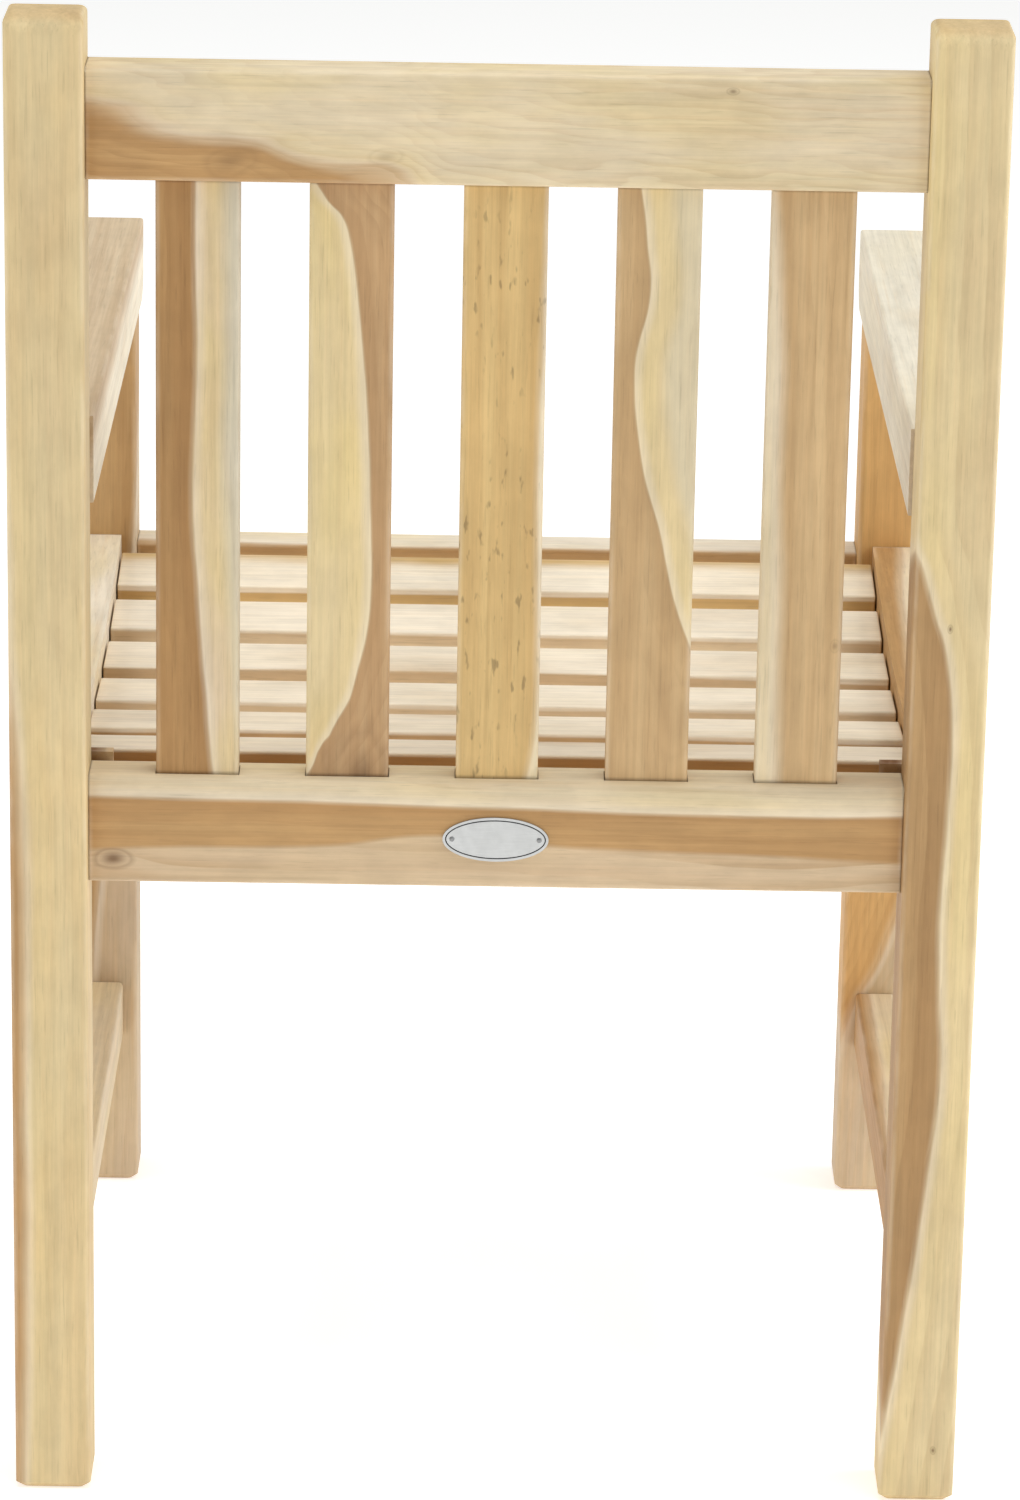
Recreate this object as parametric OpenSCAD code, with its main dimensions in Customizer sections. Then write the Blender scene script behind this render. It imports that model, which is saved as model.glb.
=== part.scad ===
// Slatted garden armchair, one seat wide, in solid hardwood.
// The front faces -Y, the back posts stand at +Y, and the feet rest on z = 0.

/* [Overall] */
// Width over the legs
chair_w = 566; // [480:2:760]
// Height of the rear legs, which carry the back
chair_h = 900; // [780:2:1100]
// Depth over the legs, from the front face of one to the back face of the other
frame_d = 538; // [440:2:680]

/* [Legs] */
// Side of the square leg section
leg_w = 45; // [40:1:60]
// Rounding along the legs' long edges
leg_round = 3; // [1:0.5:6]
// Rounding of the rear legs' tops, front and back
post_round = 12; // [4:1:18]
// Rounding of the rear legs' tops, left and right
post_side_round = 5; // [2:1:8]
// Bevel round the underside of each foot
foot_bevel = 4; // [2:0.5:6]

/* [Cross rails] */
// Height of the top rail and of both seat rails
rail_h = 65; // [54:1:80]
// Thickness of the top rail and of both seat rails
rail_t = 31; // [26:1:37]
// Set-back of the rear rails from the legs' back faces
rail_back = 12; // [4:1:14]
// Set-back of the front seat rail from the legs' front faces
rail_front = 3; // [2:1:10]
// Underside of both seat rails above the floor
seat_rail_z = 385; // [340:1:440]
// Underside of the top rail above the floor
top_rail_z = 804; // [690:1:960]
// Rounding along the rails' plain edges
rail_round = 3; // [1:0.5:5]
// Rounding of the top rail's upper back edge
top_rail_round = 5; // [2:1:10]
// Rounding of the rear seat rail's upper back edge
seat_rail_round = 9; // [2:1:12]

/* [Side frames] */
// Thickness of the side seat rails and of the stretchers
side_t = 26; // [20:1:32]
// Top of a side seat rail at its ends, above the rails' underside
side_rail_h = 73; // [66:1:88]
// Hollow of a side seat rail's top edge
side_rail_dip = 14; // [8:1:20]
// Underside of the stretchers above the floor
stretcher_z = 105; // [80:1:160]
// Height of the stretchers
stretcher_h = 39; // [32:1:48]

/* [Armrests] */
// Underside of the armrests above the floor
arm_z = 606; // [560:1:680]
// Height of the armrest section
arm_h = 52; // [44:1:60]
// Width of the armrest section
arm_w = 49; // [48:1:60]
// Overhang of an armrest past the legs' inner faces
arm_inside = 2; // [1:1:6]
// Overhang of an armrest past the front legs
arm_nose = 15; // [6:1:30]
// Rounding of an armrest's upper edges
arm_round = 8; // [4:1:12]
// Rounding of an armrest's lower edges
arm_under_round = 4; // [2:1:8]
// Rounding under the armrest's front end
nose_round = 20; // [8:1:24]

/* [Back slats] */
// Number of upright slats in the back
back_slats = 5; // [3:1:6]
// Width of a back slat
back_slat_w = 48; // [36:1:58]
// Thickness of a back slat
back_slat_t = 17; // [12:1:20]
// Depth of a back slat's end in its rail
back_slat_in = 14; // [8:1:20]

/* [Seat slats] */
// Number of slats across the seat
seat_slats = 6; // [4:1:6]
// Width of a seat slat
seat_slat_w = 50; // [40:1:60]
// Thickness of a seat slat
seat_slat_t = 18; // [14:1:22]
// Height of the hollow seat's lowest line
seat_low_z = 432; // [385:1:490]
// Rise of the hollow from its lowest line to the seat rails
seat_dip = 22; // [12:1:26]
// Gap between a seat slat's end and the side seat rail
slat_end_gap = 1; // [0.5:0.25:3]
// Rounding along the slats' long edges
slat_round = 1.5; // [1:0.5:5]
// Width of the cleat under the slats' ends
cleat_w = 22; // [18:1:28]
// Underside of the cleats above the seat rails' underside
cleat_up = 4; // [0:1:8]

/* [Joints] */
// Thickness of the tenons
tenon_t = 12; // [9:1:15]
// Length of the tenons
tenon_l = 28; // [18:1:34]
// Height of the two seat tenons that pass one another in each leg
seat_tenon_h = 24; // [18:1:27]
// Clearance between a tenon and its mortise on each side
tenon_gap = 0.2; // [0.1:0.05:0.5]
// Clearance between a back slat and its housing on each side
housing_gap = 0.5; // [0.1:0.1:1]
// Space left at the bottom of a mortise or housing
mortise_bottom = 1; // [0.5:0.5:2]

/* [Screws] */
// Diameter of the screw shank
screw_d = 4; // [3:0.5:5]
// Diameter of the countersunk screw head
screw_head_d = 8; // [6.5:0.5:10]
// Length of a screw
screw_l = 32; // [28:1:34]
// Wood that a screw passes before it reaches its second piece
screw_through = 20; // [16:1:22]
// Clearance round a screw's shank
screw_gap = 0.1; // [0.05:0.05:0.3]

/* [Badge] */
// Width of the blank oval badge on the rear seat rail
badge_w = 62; // [40:1:80]
// Height of the badge
badge_h = 27; // [18:1:36]
// Thickness of the badge plate
badge_t = 1.2; // [0.8:0.1:2]
// Inset of the groove that borders the badge
badge_border = 1.5; // [1:0.5:4]
// Distance between the badge's two pins
pin_spacing = 51; // [30:1:66]
// Diameter of a badge pin
pin_d = 2; // [1.5:0.1:3]
// Length of a badge pin in the rail
pin_l = 10; // [6:1:14]

/* [Hidden] */
$fn = 96;
eps = 0.01;
// Cut-outs run this far past the faces that they open
over = 1;
side_signs = [-1, 1];
// The armrests reach furthest forward, and the whole depth is centred on the origin
total_d = frame_d + arm_nose;
back_y = total_d / 2;
rear_leg_front_y = back_y - leg_w;
front_y = back_y - frame_d;
front_leg_back_y = front_y + leg_w;
leg_in_x = chair_w / 2 - leg_w;
leg_mid_x = chair_w / 2 - leg_w / 2;
opening_w = 2 * leg_in_x;
// Cross rails
rear_rail_y = back_y - rail_back - rail_t;
front_rail_y = front_y + rail_front;
rear_rail_mid_y = rear_rail_y + rail_t / 2;
front_rail_mid_y = front_rail_y + rail_t / 2;
top_tenon_inset = 8;
// The cross rails' tenons take the lower half of the joint and the side rails' the upper half
cross_tenon_up = 6;
side_tenon_up = cross_tenon_up + seat_tenon_h + 6;
// Side frames
side_in_x = leg_mid_x - side_t / 2;
side_len = rear_leg_front_y - front_leg_back_y;
side_mid_y = (rear_leg_front_y + front_leg_back_y) / 2;
stretcher_tenon_inset = 6;
side_rail_r = arc_radius(side_len, side_rail_dip);
side_rail_low = side_rail_h - side_rail_dip;
// Armrests
arm_in_x = leg_in_x - arm_inside;
arm_len = rear_leg_front_y + back_y;
arm_corner_round = 5;
arm_tenon_h = 30;
arm_tenon_inset = (arm_h - arm_tenon_h) / 2;
arm_post_tenon = 22;
arm_post_tenon_l = 30;
// Back slats
back_gap = (opening_w - back_slats * back_slat_w) / (back_slats + 1);
back_pitch = back_slat_w + back_gap;
back_bottom_z = seat_rail_z + rail_h;
back_slat_l = top_rail_z - back_bottom_z + 2 * back_slat_in;
// The hollow of the seat is an arc between the two seat rails
seat_front_y = front_rail_y + rail_t;
seat_open = rear_rail_y - seat_front_y;
seat_mid_y = (rear_rail_y + seat_front_y) / 2;
seat_r = arc_radius(seat_open, seat_dip);
seat_axis_z = seat_low_z + seat_r;
seat_arc = 2 * asin(seat_open / 2 / seat_r);
slat_angle = seat_slat_w / seat_r * 180 / PI;
seat_gap_angle = (seat_arc - seat_slats * slat_angle) / (seat_slats + 1);
seat_pitch_angle = slat_angle + seat_gap_angle;
seat_slat_l = 2 * (side_in_x - slat_end_gap);
// Cleats, clear of the legs at both ends
cleat_end_gap = 1;
cleat_z = seat_rail_z + cleat_up;
cleat_len = side_len - 2 * cleat_end_gap;
cleat_mid_x = side_in_x - cleat_w / 2;
// Screws
screw_head_h = (screw_head_d - screw_d) / 2;
screw_end_gap = 0.5;
counterbore_gap = 0.5;
cleat_screw_offsets = [-160, 0, 160];
cleat_screw_z = cleat_z + 12;
// Badge
badge_z = seat_rail_z + 30;
badge_y = back_y - rail_back;
groove_w = 0.7;
groove_d = 0.4;
pin_head_d = 3;
pin_head_h = 1;
pin_gap = 0.1;

leg_color = "burlywood";
rail_color = "wheat";
slat_color = "tan";
metal_color = "silver";

// Radius of an arc that rises by sag over half of a chord
function arc_radius(chord, sag) = (chord * chord / 4 + sag * sag) / (2 * sag);

// Angle of seat slat i about the axis of the hollow, with slat 1 at the front
function seat_angle(i) = (i - (seat_slats + 1) / 2) * seat_pitch_angle;

// Centre of back slat i, with slat 1 at the sitter's left
function back_slat_x(i) = ((back_slats + 1) / 2 - i) * back_pitch;

// Rectangle from the origin with a radius for each corner, from lower left round to upper left
module profile(w, h, r) {
    polygon([
        [r[0], 0], [w - r[1], 0], [w, r[1]], [w, h - r[2]],
        [w - r[2], h], [r[3], h], [0, h - r[3]], [0, r[0]]
    ]);
    translate([r[0], r[0]]) circle(r = r[0]);
    translate([w - r[1], r[1]]) circle(r = r[1]);
    translate([w - r[2], h - r[2]]) circle(r = r[2]);
    translate([r[3], h - r[3]]) circle(r = r[3]);
}

// Stands a shape that was drawn in X and Y and extruded along Z, so that it runs along +X
// and its drawn X and Y become Y and Z
module along_x() {
    multmatrix([[0, 0, 1, 0], [1, 0, 0, 0], [0, 1, 0, 0], [0, 0, 0, 1]]) children();
}

// Lays a shape that was drawn in X and Y and extruded along Z, so that it runs along +Y
// and its drawn X and Y become X and Z
module along_y() {
    multmatrix([[1, 0, 0, 0], [0, 0, -1, 0], [0, 1, 0, 0], [0, 0, 0, 1]]) mirror([0, 0, 1]) children();
}

// Bar with rounded edges that runs along +X from the origin
module x_bar(length, depth, height, r) {
    along_x() linear_extrude(length) profile(depth, height, r);
}

// Bar with rounded edges that runs along +Y from the origin
module y_bar(length, width, height, r) {
    along_y() linear_extrude(length) profile(width, height, r);
}

// Tenon of the given size, centred on X and Y, from z = 0 up
module block(x, y, z) {
    translate([-x / 2, -y / 2, 0]) cube([x, y, z]);
}

// Leg section with bevelled foot, standing on the origin with its centre on the axis
module leg_blank(height) {
    intersection() {
        translate([-leg_w / 2, -leg_w / 2, 0])
            linear_extrude(height) profile(leg_w, leg_w, leg_round * [1, 1, 1, 1]);
        foot_cut(height);
        rotate([0, 0, 90]) foot_cut(height);
    }
}

// Prism through the whole leg, as wide as the leg, whose underside is bevelled on two edges
module foot_cut(height) {
    half = leg_w / 2 + eps;
    along_x() translate([0, 0, -leg_w]) linear_extrude(2 * leg_w) polygon([
        [-half + foot_bevel, 0], [half - foot_bevel, 0], [half, foot_bevel],
        [half, height + over], [-half, height + over], [-half, foot_bevel]
    ]);
}

// Space for a cross rail's tenon, cut into a leg from its inner face, at the leg's own X
module cross_mortise(y, z, height) {
    translate([-leg_w / 2 - over, y - tenon_t / 2 - tenon_gap, z - tenon_gap])
        cube([tenon_l + mortise_bottom + over, tenon_t + 2 * tenon_gap, height + 2 * tenon_gap]);
}

// Space for a side member's tenon, cut into a leg along Y between two depths
module side_mortise(y_from, y_to, z, height) {
    translate([-tenon_t / 2 - tenon_gap, y_from, z - tenon_gap])
        cube([tenon_t + 2 * tenon_gap, y_to - y_from, height + 2 * tenon_gap]);
}

// The three side members' mortises are at the same heights in the front and rear legs
module side_mortises(y_from, y_to) {
    side_mortise(y_from, y_to, seat_rail_z + side_tenon_up, seat_tenon_h);
    side_mortise(y_from, y_to, stretcher_z + stretcher_tenon_inset,
        stretcher_h - 2 * stretcher_tenon_inset);
}

// Rear leg at the right-hand end of the +X axis, whose inner face looks to -X
module rear_leg() {
    mortise_y = rear_leg_front_y + tenon_l + mortise_bottom;
    color(leg_color) translate([leg_mid_x, 0, 0]) difference() {
        intersection() {
            translate([0, back_y - leg_w / 2, 0]) leg_blank(chair_h);
            translate([-leg_w, rear_leg_front_y, 0])
                x_bar(2 * leg_w, leg_w, chair_h, [eps, eps, post_round, post_round]);
            translate([-leg_w / 2, rear_leg_front_y - leg_w, 0])
                y_bar(3 * leg_w, leg_w, chair_h, [eps, eps, post_side_round, post_side_round]);
        }
        cross_mortise(rear_rail_mid_y, top_rail_z + top_tenon_inset, rail_h - 2 * top_tenon_inset);
        cross_mortise(rear_rail_mid_y, seat_rail_z + cross_tenon_up, seat_tenon_h);
        side_mortises(rear_leg_front_y - over, mortise_y);
        side_mortise(rear_leg_front_y - over, mortise_y, arm_z + arm_tenon_inset, arm_tenon_h);
    }
}

// Front leg on the +X side, with a square tenon that enters the armrest
module front_leg() {
    color(leg_color) translate([leg_mid_x, 0, 0]) {
        difference() {
            translate([0, front_y + leg_w / 2, 0]) leg_blank(arm_z);
            cross_mortise(front_rail_mid_y, seat_rail_z + cross_tenon_up, seat_tenon_h);
            side_mortises(front_leg_back_y - tenon_l - mortise_bottom, front_leg_back_y + over);
        }
        translate([0, front_y + leg_w / 2, arm_z - over])
            block(arm_post_tenon, arm_post_tenon, arm_post_tenon_l + over);
    }
}

// Cross rail between the legs with a tenon at each end
module cross_rail(y, z, r, tenon_z, tenon_h) {
    translate([-leg_in_x, y, z]) x_bar(opening_w, rail_t, rail_h, r);
    translate([0, y + rail_t / 2, tenon_z]) block(opening_w + 2 * tenon_l, tenon_t, tenon_h);
}

// Housings for the ends of the back slats, open at height z on the rear rails' centre line
module slat_housings(z, depth) {
    for (i = [1 : back_slats])
        translate([back_slat_x(i), rear_rail_mid_y, z])
            block(back_slat_w + 2 * housing_gap, back_slat_t + 2 * housing_gap, depth);
}

module top_rail() {
    housing = back_slat_in + mortise_bottom;
    color(rail_color) difference() {
        cross_rail(rear_rail_y, top_rail_z, [rail_round, rail_round, top_rail_round, rail_round],
            top_rail_z + top_tenon_inset, rail_h - 2 * top_tenon_inset);
        slat_housings(top_rail_z - over, housing + over);
    }
}

module rear_seat_rail() {
    color(rail_color) difference() {
        cross_rail(rear_rail_y, seat_rail_z, [rail_round, rail_round, seat_rail_round, rail_round],
            seat_rail_z + cross_tenon_up, seat_tenon_h);
        slat_housings(back_bottom_z - back_slat_in, back_slat_in + over);
        for (side = side_signs)
            translate([side * pin_spacing / 2, badge_y + eps, badge_z])
                rotate([90, 0, 0]) cylinder(d = pin_d + 2 * pin_gap, h = pin_l + mortise_bottom);
    }
}

module front_seat_rail() {
    color(rail_color)
        cross_rail(front_rail_y, seat_rail_z, rail_round * [1, 1, 1, 1],
            seat_rail_z + cross_tenon_up, seat_tenon_h);
}

// Side seat rail on the +X side: its top edge is hollowed on an arc
module side_seat_rail() {
    tenon_len = side_len + 2 * tenon_l;
    color(rail_color) difference() {
        union() {
            translate([side_in_x, front_leg_back_y, seat_rail_z]) cube([side_t, side_len, side_rail_h]);
            translate([leg_mid_x, side_mid_y, seat_rail_z + side_tenon_up])
                block(tenon_t, tenon_len, seat_tenon_h);
        }
        translate([side_in_x - over, side_mid_y, seat_rail_z + side_rail_low + side_rail_r])
            rotate([0, 90, 0]) cylinder(r = side_rail_r, h = side_t + 2 * over, $fn = 360);
        for (offset_y = cleat_screw_offsets)
            translate([0, side_mid_y + offset_y, cleat_screw_z]) cleat_screw_hole();
    }
}

// Stretcher on the +X side, near the floor
module stretcher() {
    color(rail_color) {
        translate([side_in_x, front_leg_back_y, stretcher_z])
            y_bar(side_len, side_t, stretcher_h, rail_round * [1, 1, 1, 1]);
        translate([leg_mid_x, side_mid_y, stretcher_z + stretcher_tenon_inset])
            block(tenon_t, side_len + 2 * tenon_l, stretcher_h - 2 * stretcher_tenon_inset);
    }
}

// Armrest on the +X side: it sits on the front leg and its tenon enters the rear leg
module armrest() {
    mortise = arm_post_tenon + 2 * tenon_gap;
    color(rail_color) {
        difference() {
            translate([arm_in_x, -back_y, arm_z]) intersection() {
                y_bar(arm_len, arm_w, arm_h, [arm_under_round, arm_under_round, arm_round, arm_round]);
                translate([-over, 0, 0])
                    x_bar(arm_w + 2 * over, arm_len + leg_w, arm_h, [nose_round, eps, eps, arm_round]);
                linear_extrude(arm_h)
                    profile(arm_w, arm_len + leg_w, [arm_corner_round, arm_corner_round, eps, eps]);
            }
            translate([leg_mid_x, front_y + leg_w / 2, arm_z - over])
                block(mortise, mortise, arm_post_tenon_l + mortise_bottom + over);
        }
        translate([leg_mid_x, rear_leg_front_y, arm_z + arm_tenon_inset])
            block(tenon_t, 2 * tenon_l, arm_tenon_h);
    }
}

// Upright back slat, housed in both rear rails
module back_slat(i) {
    color(slat_color)
        translate([back_slat_x(i) - back_slat_w / 2, rear_rail_mid_y - back_slat_t / 2,
            back_bottom_z - back_slat_in])
            linear_extrude(back_slat_l) profile(back_slat_w, back_slat_t, slat_round * [1, 1, 1, 1]);
}

// Places a shape on the hollow of the seat: z = 0 is the slat's top and -Y its front edge
module on_seat(angle) {
    translate([0, seat_mid_y, seat_axis_z]) rotate([angle, 0, 0]) translate([0, 0, -seat_r]) children();
}

// Slat across the seat, held from below by one screw at each end
module seat_slat(i) {
    color(slat_color) on_seat(seat_angle(i)) difference() {
        translate([-seat_slat_l / 2, -seat_slat_w / 2, -seat_slat_t])
            x_bar(seat_slat_l, seat_slat_w, seat_slat_t, slat_round * [1, 1, 1, 1]);
        for (side = side_signs)
            translate([side * cleat_mid_x, 0, 0]) slat_screw_hole();
    }
}

// Wood screw that points to +Z, with the flat of its head at z = 0
module screw() {
    cylinder(d1 = screw_head_d, d2 = screw_d, h = screw_head_h);
    cylinder(d = screw_d, h = screw_l);
}

// Hole for a screw: a cone that seats its head, clearance round its shank, and a counterbore behind
module screw_hole(counterbore) {
    cylinder(d1 = screw_head_d, d2 = screw_d, h = screw_head_h);
    cylinder(d = screw_d + 2 * screw_gap, h = screw_l + screw_end_gap);
    translate([0, 0, -counterbore])
        cylinder(d = screw_head_d + 2 * counterbore_gap, h = counterbore);
}

// Puts a screw under a slat, in the slat's own frame
module at_slat_screw() {
    translate([0, 0, -seat_slat_t - screw_through]) children();
}

module slat_screw_hole() {
    at_slat_screw() screw_hole(seat_slat_t);
}

// Puts a screw in the cleat's inner face, pointing to +X
module at_cleat_screw() {
    translate([side_in_x - screw_through, 0, 0]) rotate([0, 90, 0]) children();
}

module cleat_screw_hole() {
    at_cleat_screw() screw_hole(cleat_w);
}

// Cleat on the +X side: its top edge carries the undersides of the seat slats
module seat_cleat() {
    color(rail_color) difference() {
        translate([side_in_x - cleat_w, side_mid_y - cleat_len / 2, cleat_z])
            cube([cleat_w, cleat_len, seat_low_z + seat_dip - cleat_z]);
        cleat_top_cut();
        for (i = [1 : seat_slats])
            on_seat(seat_angle(i)) translate([cleat_mid_x, 0, 0]) slat_screw_hole();
        for (offset_y = cleat_screw_offsets)
            translate([0, side_mid_y + offset_y, cleat_screw_z]) cleat_screw_hole();
    }
}

// Flats under the slats, one for each, which together follow the hollow of the seat
module cleat_top_cut() {
    reach = seat_r * tan(seat_pitch_angle / 2);
    for (i = [1 : seat_slats])
        on_seat(seat_angle(i))
            translate([side_in_x - cleat_w - over, -reach - over, -seat_slat_t])
                cube([cleat_w + 2 * over, 2 * (reach + over), 2 * seat_dip + seat_slat_t]);
}

// Two screws for each seat slat, driven up through the cleats
module slat_screws() {
    color(metal_color) for (i = [1 : seat_slats])
        on_seat(seat_angle(i))
            for (side = side_signs)
                translate([side * cleat_mid_x, 0, 0]) at_slat_screw() screw();
}

// Screws that hold each cleat to its side seat rail
module cleat_screws() {
    color(metal_color) for (offset_y = cleat_screw_offsets)
        translate([0, side_mid_y + offset_y, cleat_screw_z]) {
            at_cleat_screw() screw();
            mirror([1, 0, 0]) at_cleat_screw() screw();
        }
}

// Outline of the oval badge, as four arcs, reduced all round by an inset
module oval(inset) {
    end_r = badge_h / 3;
    half_w = badge_w / 2 - inset;
    half_h = badge_h / 2 - inset;
    r = end_r - inset;
    side_r = (pow(badge_w / 2 - end_r, 2) + pow(badge_h / 2, 2) - end_r * end_r)
        / (2 * (badge_h / 2 - end_r)) - inset;
    intersection() {
        translate([0, half_h - side_r]) circle(r = side_r, $fn = 180);
        translate([0, side_r - half_h]) circle(r = side_r, $fn = 180);
        square([2 * half_w, 2 * half_h], center = true);
    }
}

module badge_plate() {
    color(metal_color) translate([0, badge_y, badge_z]) rotate([-90, 0, 0]) difference() {
        linear_extrude(badge_t) oval(0);
        translate([0, 0, badge_t - groove_d]) linear_extrude(groove_d + over) difference() {
            oval(badge_border);
            oval(badge_border + groove_w);
        }
        for (side = side_signs)
            translate([side * pin_spacing / 2, 0, -over])
                cylinder(d = pin_d + 2 * pin_gap, h = badge_t + 2 * over);
    }
}

module badge_pins() {
    color(metal_color) for (side = side_signs)
        translate([side * pin_spacing / 2, badge_y, badge_z]) rotate([-90, 0, 0]) {
            translate([0, 0, -pin_l]) cylinder(d = pin_d, h = pin_l + badge_t + pin_head_h / 2);
            translate([0, 0, badge_t]) cylinder(d1 = pin_head_d, d2 = pin_head_d / 2, h = pin_head_h);
        }
}

// Copy of a side piece on the other side of the chair
module right() {
    mirror([1, 0, 0]) children();
}

rear_leg();  // rear_leg_left
right() rear_leg();  // rear_leg_right
front_leg();  // front_leg_left
right() front_leg();  // front_leg_right
top_rail();
rear_seat_rail();
front_seat_rail();
side_seat_rail();  // side_seat_rail_left
right() side_seat_rail();  // side_seat_rail_right
stretcher();  // stretcher_left
right() stretcher();  // stretcher_right
armrest();  // armrest_left
right() armrest();  // armrest_right
for (i = [1 : back_slats])
    back_slat(i);
for (i = [1 : seat_slats])
    seat_slat(i);
seat_cleat();  // seat_cleat_left
right() seat_cleat();  // seat_cleat_right
slat_screws();
cleat_screws();
badge_plate();
badge_pins();
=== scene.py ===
# %% [markdown]
# # A slatted teak garden armchair
#
# This lesson builds the looks of a small garden seat: a one-seat armchair in pale, finely sanded
# teak, seen from behind. A CAD model of it already exists, and it is loaded first as a fixed
# frame, so the sizes and places below come from it. Each wooden piece is then modelled again by
# hand, with the softened edges, joint lines and slat housings that a joiner leaves, and gets its
# own board of procedural teak: its own heartwood, sapwood, rings and knots.

# %% Load the frame
import math

import bmesh
import bpy
from mathutils import Matrix, Vector

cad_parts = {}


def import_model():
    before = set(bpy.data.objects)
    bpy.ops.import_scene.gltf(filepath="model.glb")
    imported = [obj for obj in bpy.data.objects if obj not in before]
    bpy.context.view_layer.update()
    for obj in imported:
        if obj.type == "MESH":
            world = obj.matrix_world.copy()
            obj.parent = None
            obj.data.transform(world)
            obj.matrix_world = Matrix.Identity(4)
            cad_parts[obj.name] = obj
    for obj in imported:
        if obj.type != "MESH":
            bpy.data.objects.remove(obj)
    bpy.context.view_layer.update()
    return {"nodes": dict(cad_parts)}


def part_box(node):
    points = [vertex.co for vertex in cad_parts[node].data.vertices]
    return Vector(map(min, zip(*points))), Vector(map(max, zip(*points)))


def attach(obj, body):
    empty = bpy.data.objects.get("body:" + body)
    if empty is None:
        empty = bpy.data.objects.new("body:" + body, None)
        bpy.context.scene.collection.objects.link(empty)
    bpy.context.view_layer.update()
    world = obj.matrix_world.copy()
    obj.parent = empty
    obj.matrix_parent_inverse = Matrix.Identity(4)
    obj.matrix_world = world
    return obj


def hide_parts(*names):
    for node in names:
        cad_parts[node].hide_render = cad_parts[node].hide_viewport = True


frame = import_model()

nodes = frame["nodes"]

# %% [markdown]
# ## Camera
#
# The chair is looked at from behind and a little above, through a long lens, as a catalogue picture
# would. A long lens could be copied by moving a short one closer, but then the front legs would
# shrink against the back ones. So the lens is long and the camera stands well away.

# %% Make the camera
CAMERA_PLACE = Vector((0.0158, 3.5641, 1.5468))
PITCH, TILT, PAN = 0.3155, -0.0042, 0.0166
LENS_MM = 143.2
CLIP_NEAR, CLIP_FAR = 0.05, 200

turn_axis = Vector((PITCH, TILT, PAN))
turn = Matrix.Rotation(turn_axis.length, 3, turn_axis.normalized())
looking_back = Matrix(((-1, 0, 0), (0, 0, -1), (0, -1, 0)))
to_lens = turn @ looking_back
lens_to_camera = Matrix.Diagonal((1, -1, -1))

bpy.ops.object.camera_add(location=CAMERA_PLACE)
camera = bpy.context.active_object
camera.name = "camera"
camera.data.lens = LENS_MM
camera.data.clip_start = CLIP_NEAR
camera.data.clip_end = CLIP_FAR
camera.rotation_mode = "QUATERNION"
camera.rotation_quaternion = (to_lens.transposed() @ lens_to_camera).to_quaternion()
bpy.context.scene.camera = camera
gaze = camera.rotation_quaternion @ Vector((0, 0, -1))
print("camera looks", tuple(round(c, 3) for c in gaze))

# %% [markdown]
# ## Floor and light
#
# A seat for sale is shown on a plain white sweep under big soft lamps. A square would do for the
# floor, but its corners would show in other views, so a very wide disc is laid and inset in rings.
# Its paint glows a little, so that it stays white under the chair. The light is a bright, even
# room, one wide lamp overhead, one at each side and two small ones behind the camera, so the faces
# that look back stay bright and the shadows stay soft.

# %% Lay the floor
FLOOR_RADIUS = 14
FLOOR_RINGS = (4, 8)

bpy.ops.object.select_all(action="DESELECT")
bpy.ops.mesh.primitive_circle_add(vertices=96, radius=FLOOR_RADIUS, fill_type="NGON",
                                  location=(0, 0, 0))
floor = bpy.context.active_object
floor.name = "studio_floor"
bpy.ops.object.mode_set(mode="EDIT")
bpy.ops.mesh.select_all(action="SELECT")
for ring_width in FLOOR_RINGS:
    bpy.ops.mesh.inset(thickness=ring_width)
bpy.ops.object.mode_set(mode="OBJECT")
bpy.ops.object.shade_smooth()
print("floor faces:", len(floor.data.polygons))

# %% Paint the floor
FLOOR_GLOW = 0.42

paint = bpy.data.materials.new("studio_floor_paint")
paint.use_nodes = True
paint_shader = paint.node_tree.nodes["Principled BSDF"]
paint_shader.inputs["Base Color"].default_value = (0.93, 0.93, 0.925, 1)
paint_shader.inputs["Roughness"].default_value = 0.9
paint_shader.inputs["Specular IOR Level"].default_value = 0.1
paint_shader.inputs["Emission Color"].default_value = (1.0, 1.0, 1.0, 1)
paint_shader.inputs["Emission Strength"].default_value = FLOOR_GLOW
floor.data.materials.append(paint)

# %% Light the room
ROOM_LIGHT = 0.38

world = bpy.data.worlds.new("studio_room")
world.use_nodes = True
bpy.context.scene.world = world
room = world.node_tree.nodes["Background"]
room.inputs["Color"].default_value = (1.0, 0.985, 0.95, 1)
room.inputs["Strength"].default_value = ROOM_LIGHT
bpy.context.scene.view_settings.view_transform = "Standard"

# %% Hang the lamps
COOL_WHITE = (0.93, 0.97, 1.0)
LAMPS = [  # name, place, the point it faces, width in metres, power in watts
    ("overhead_lamp", (-0.4, 0.2, 4.2), (0, 0, 0.3), 4.0, 99),
    ("back_right_lamp", (-2.9, 4.2, 2.4), (0, 0, 0.5), 0.7, 15),
    ("back_left_lamp", (2.9, 4.2, 2.4), (0, 0, 0.5), 0.7, 15),
    ("right_lamp", (-3.6, 0.3, 2.0), (0, 0, 0.6), 2.2, 70),
    ("left_lamp", (3.6, 0.3, 2.0), (0, 0, 0.6), 2.2, 42),
]

for name, place, target, width, power in LAMPS:
    bpy.ops.object.light_add(type="AREA", location=place)
    lamp = bpy.context.active_object
    lamp.name = name
    lamp.data.shape = "SQUARE"
    lamp.data.size = width
    lamp.data.energy = power
    lamp.data.color = COOL_WHITE
    away = Vector(place) - Vector(target)
    lamp.rotation_euler = away.to_track_quat("Z", "Y").to_euler()
    lamp.visible_camera = False
    print(name, "power", power)

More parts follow.
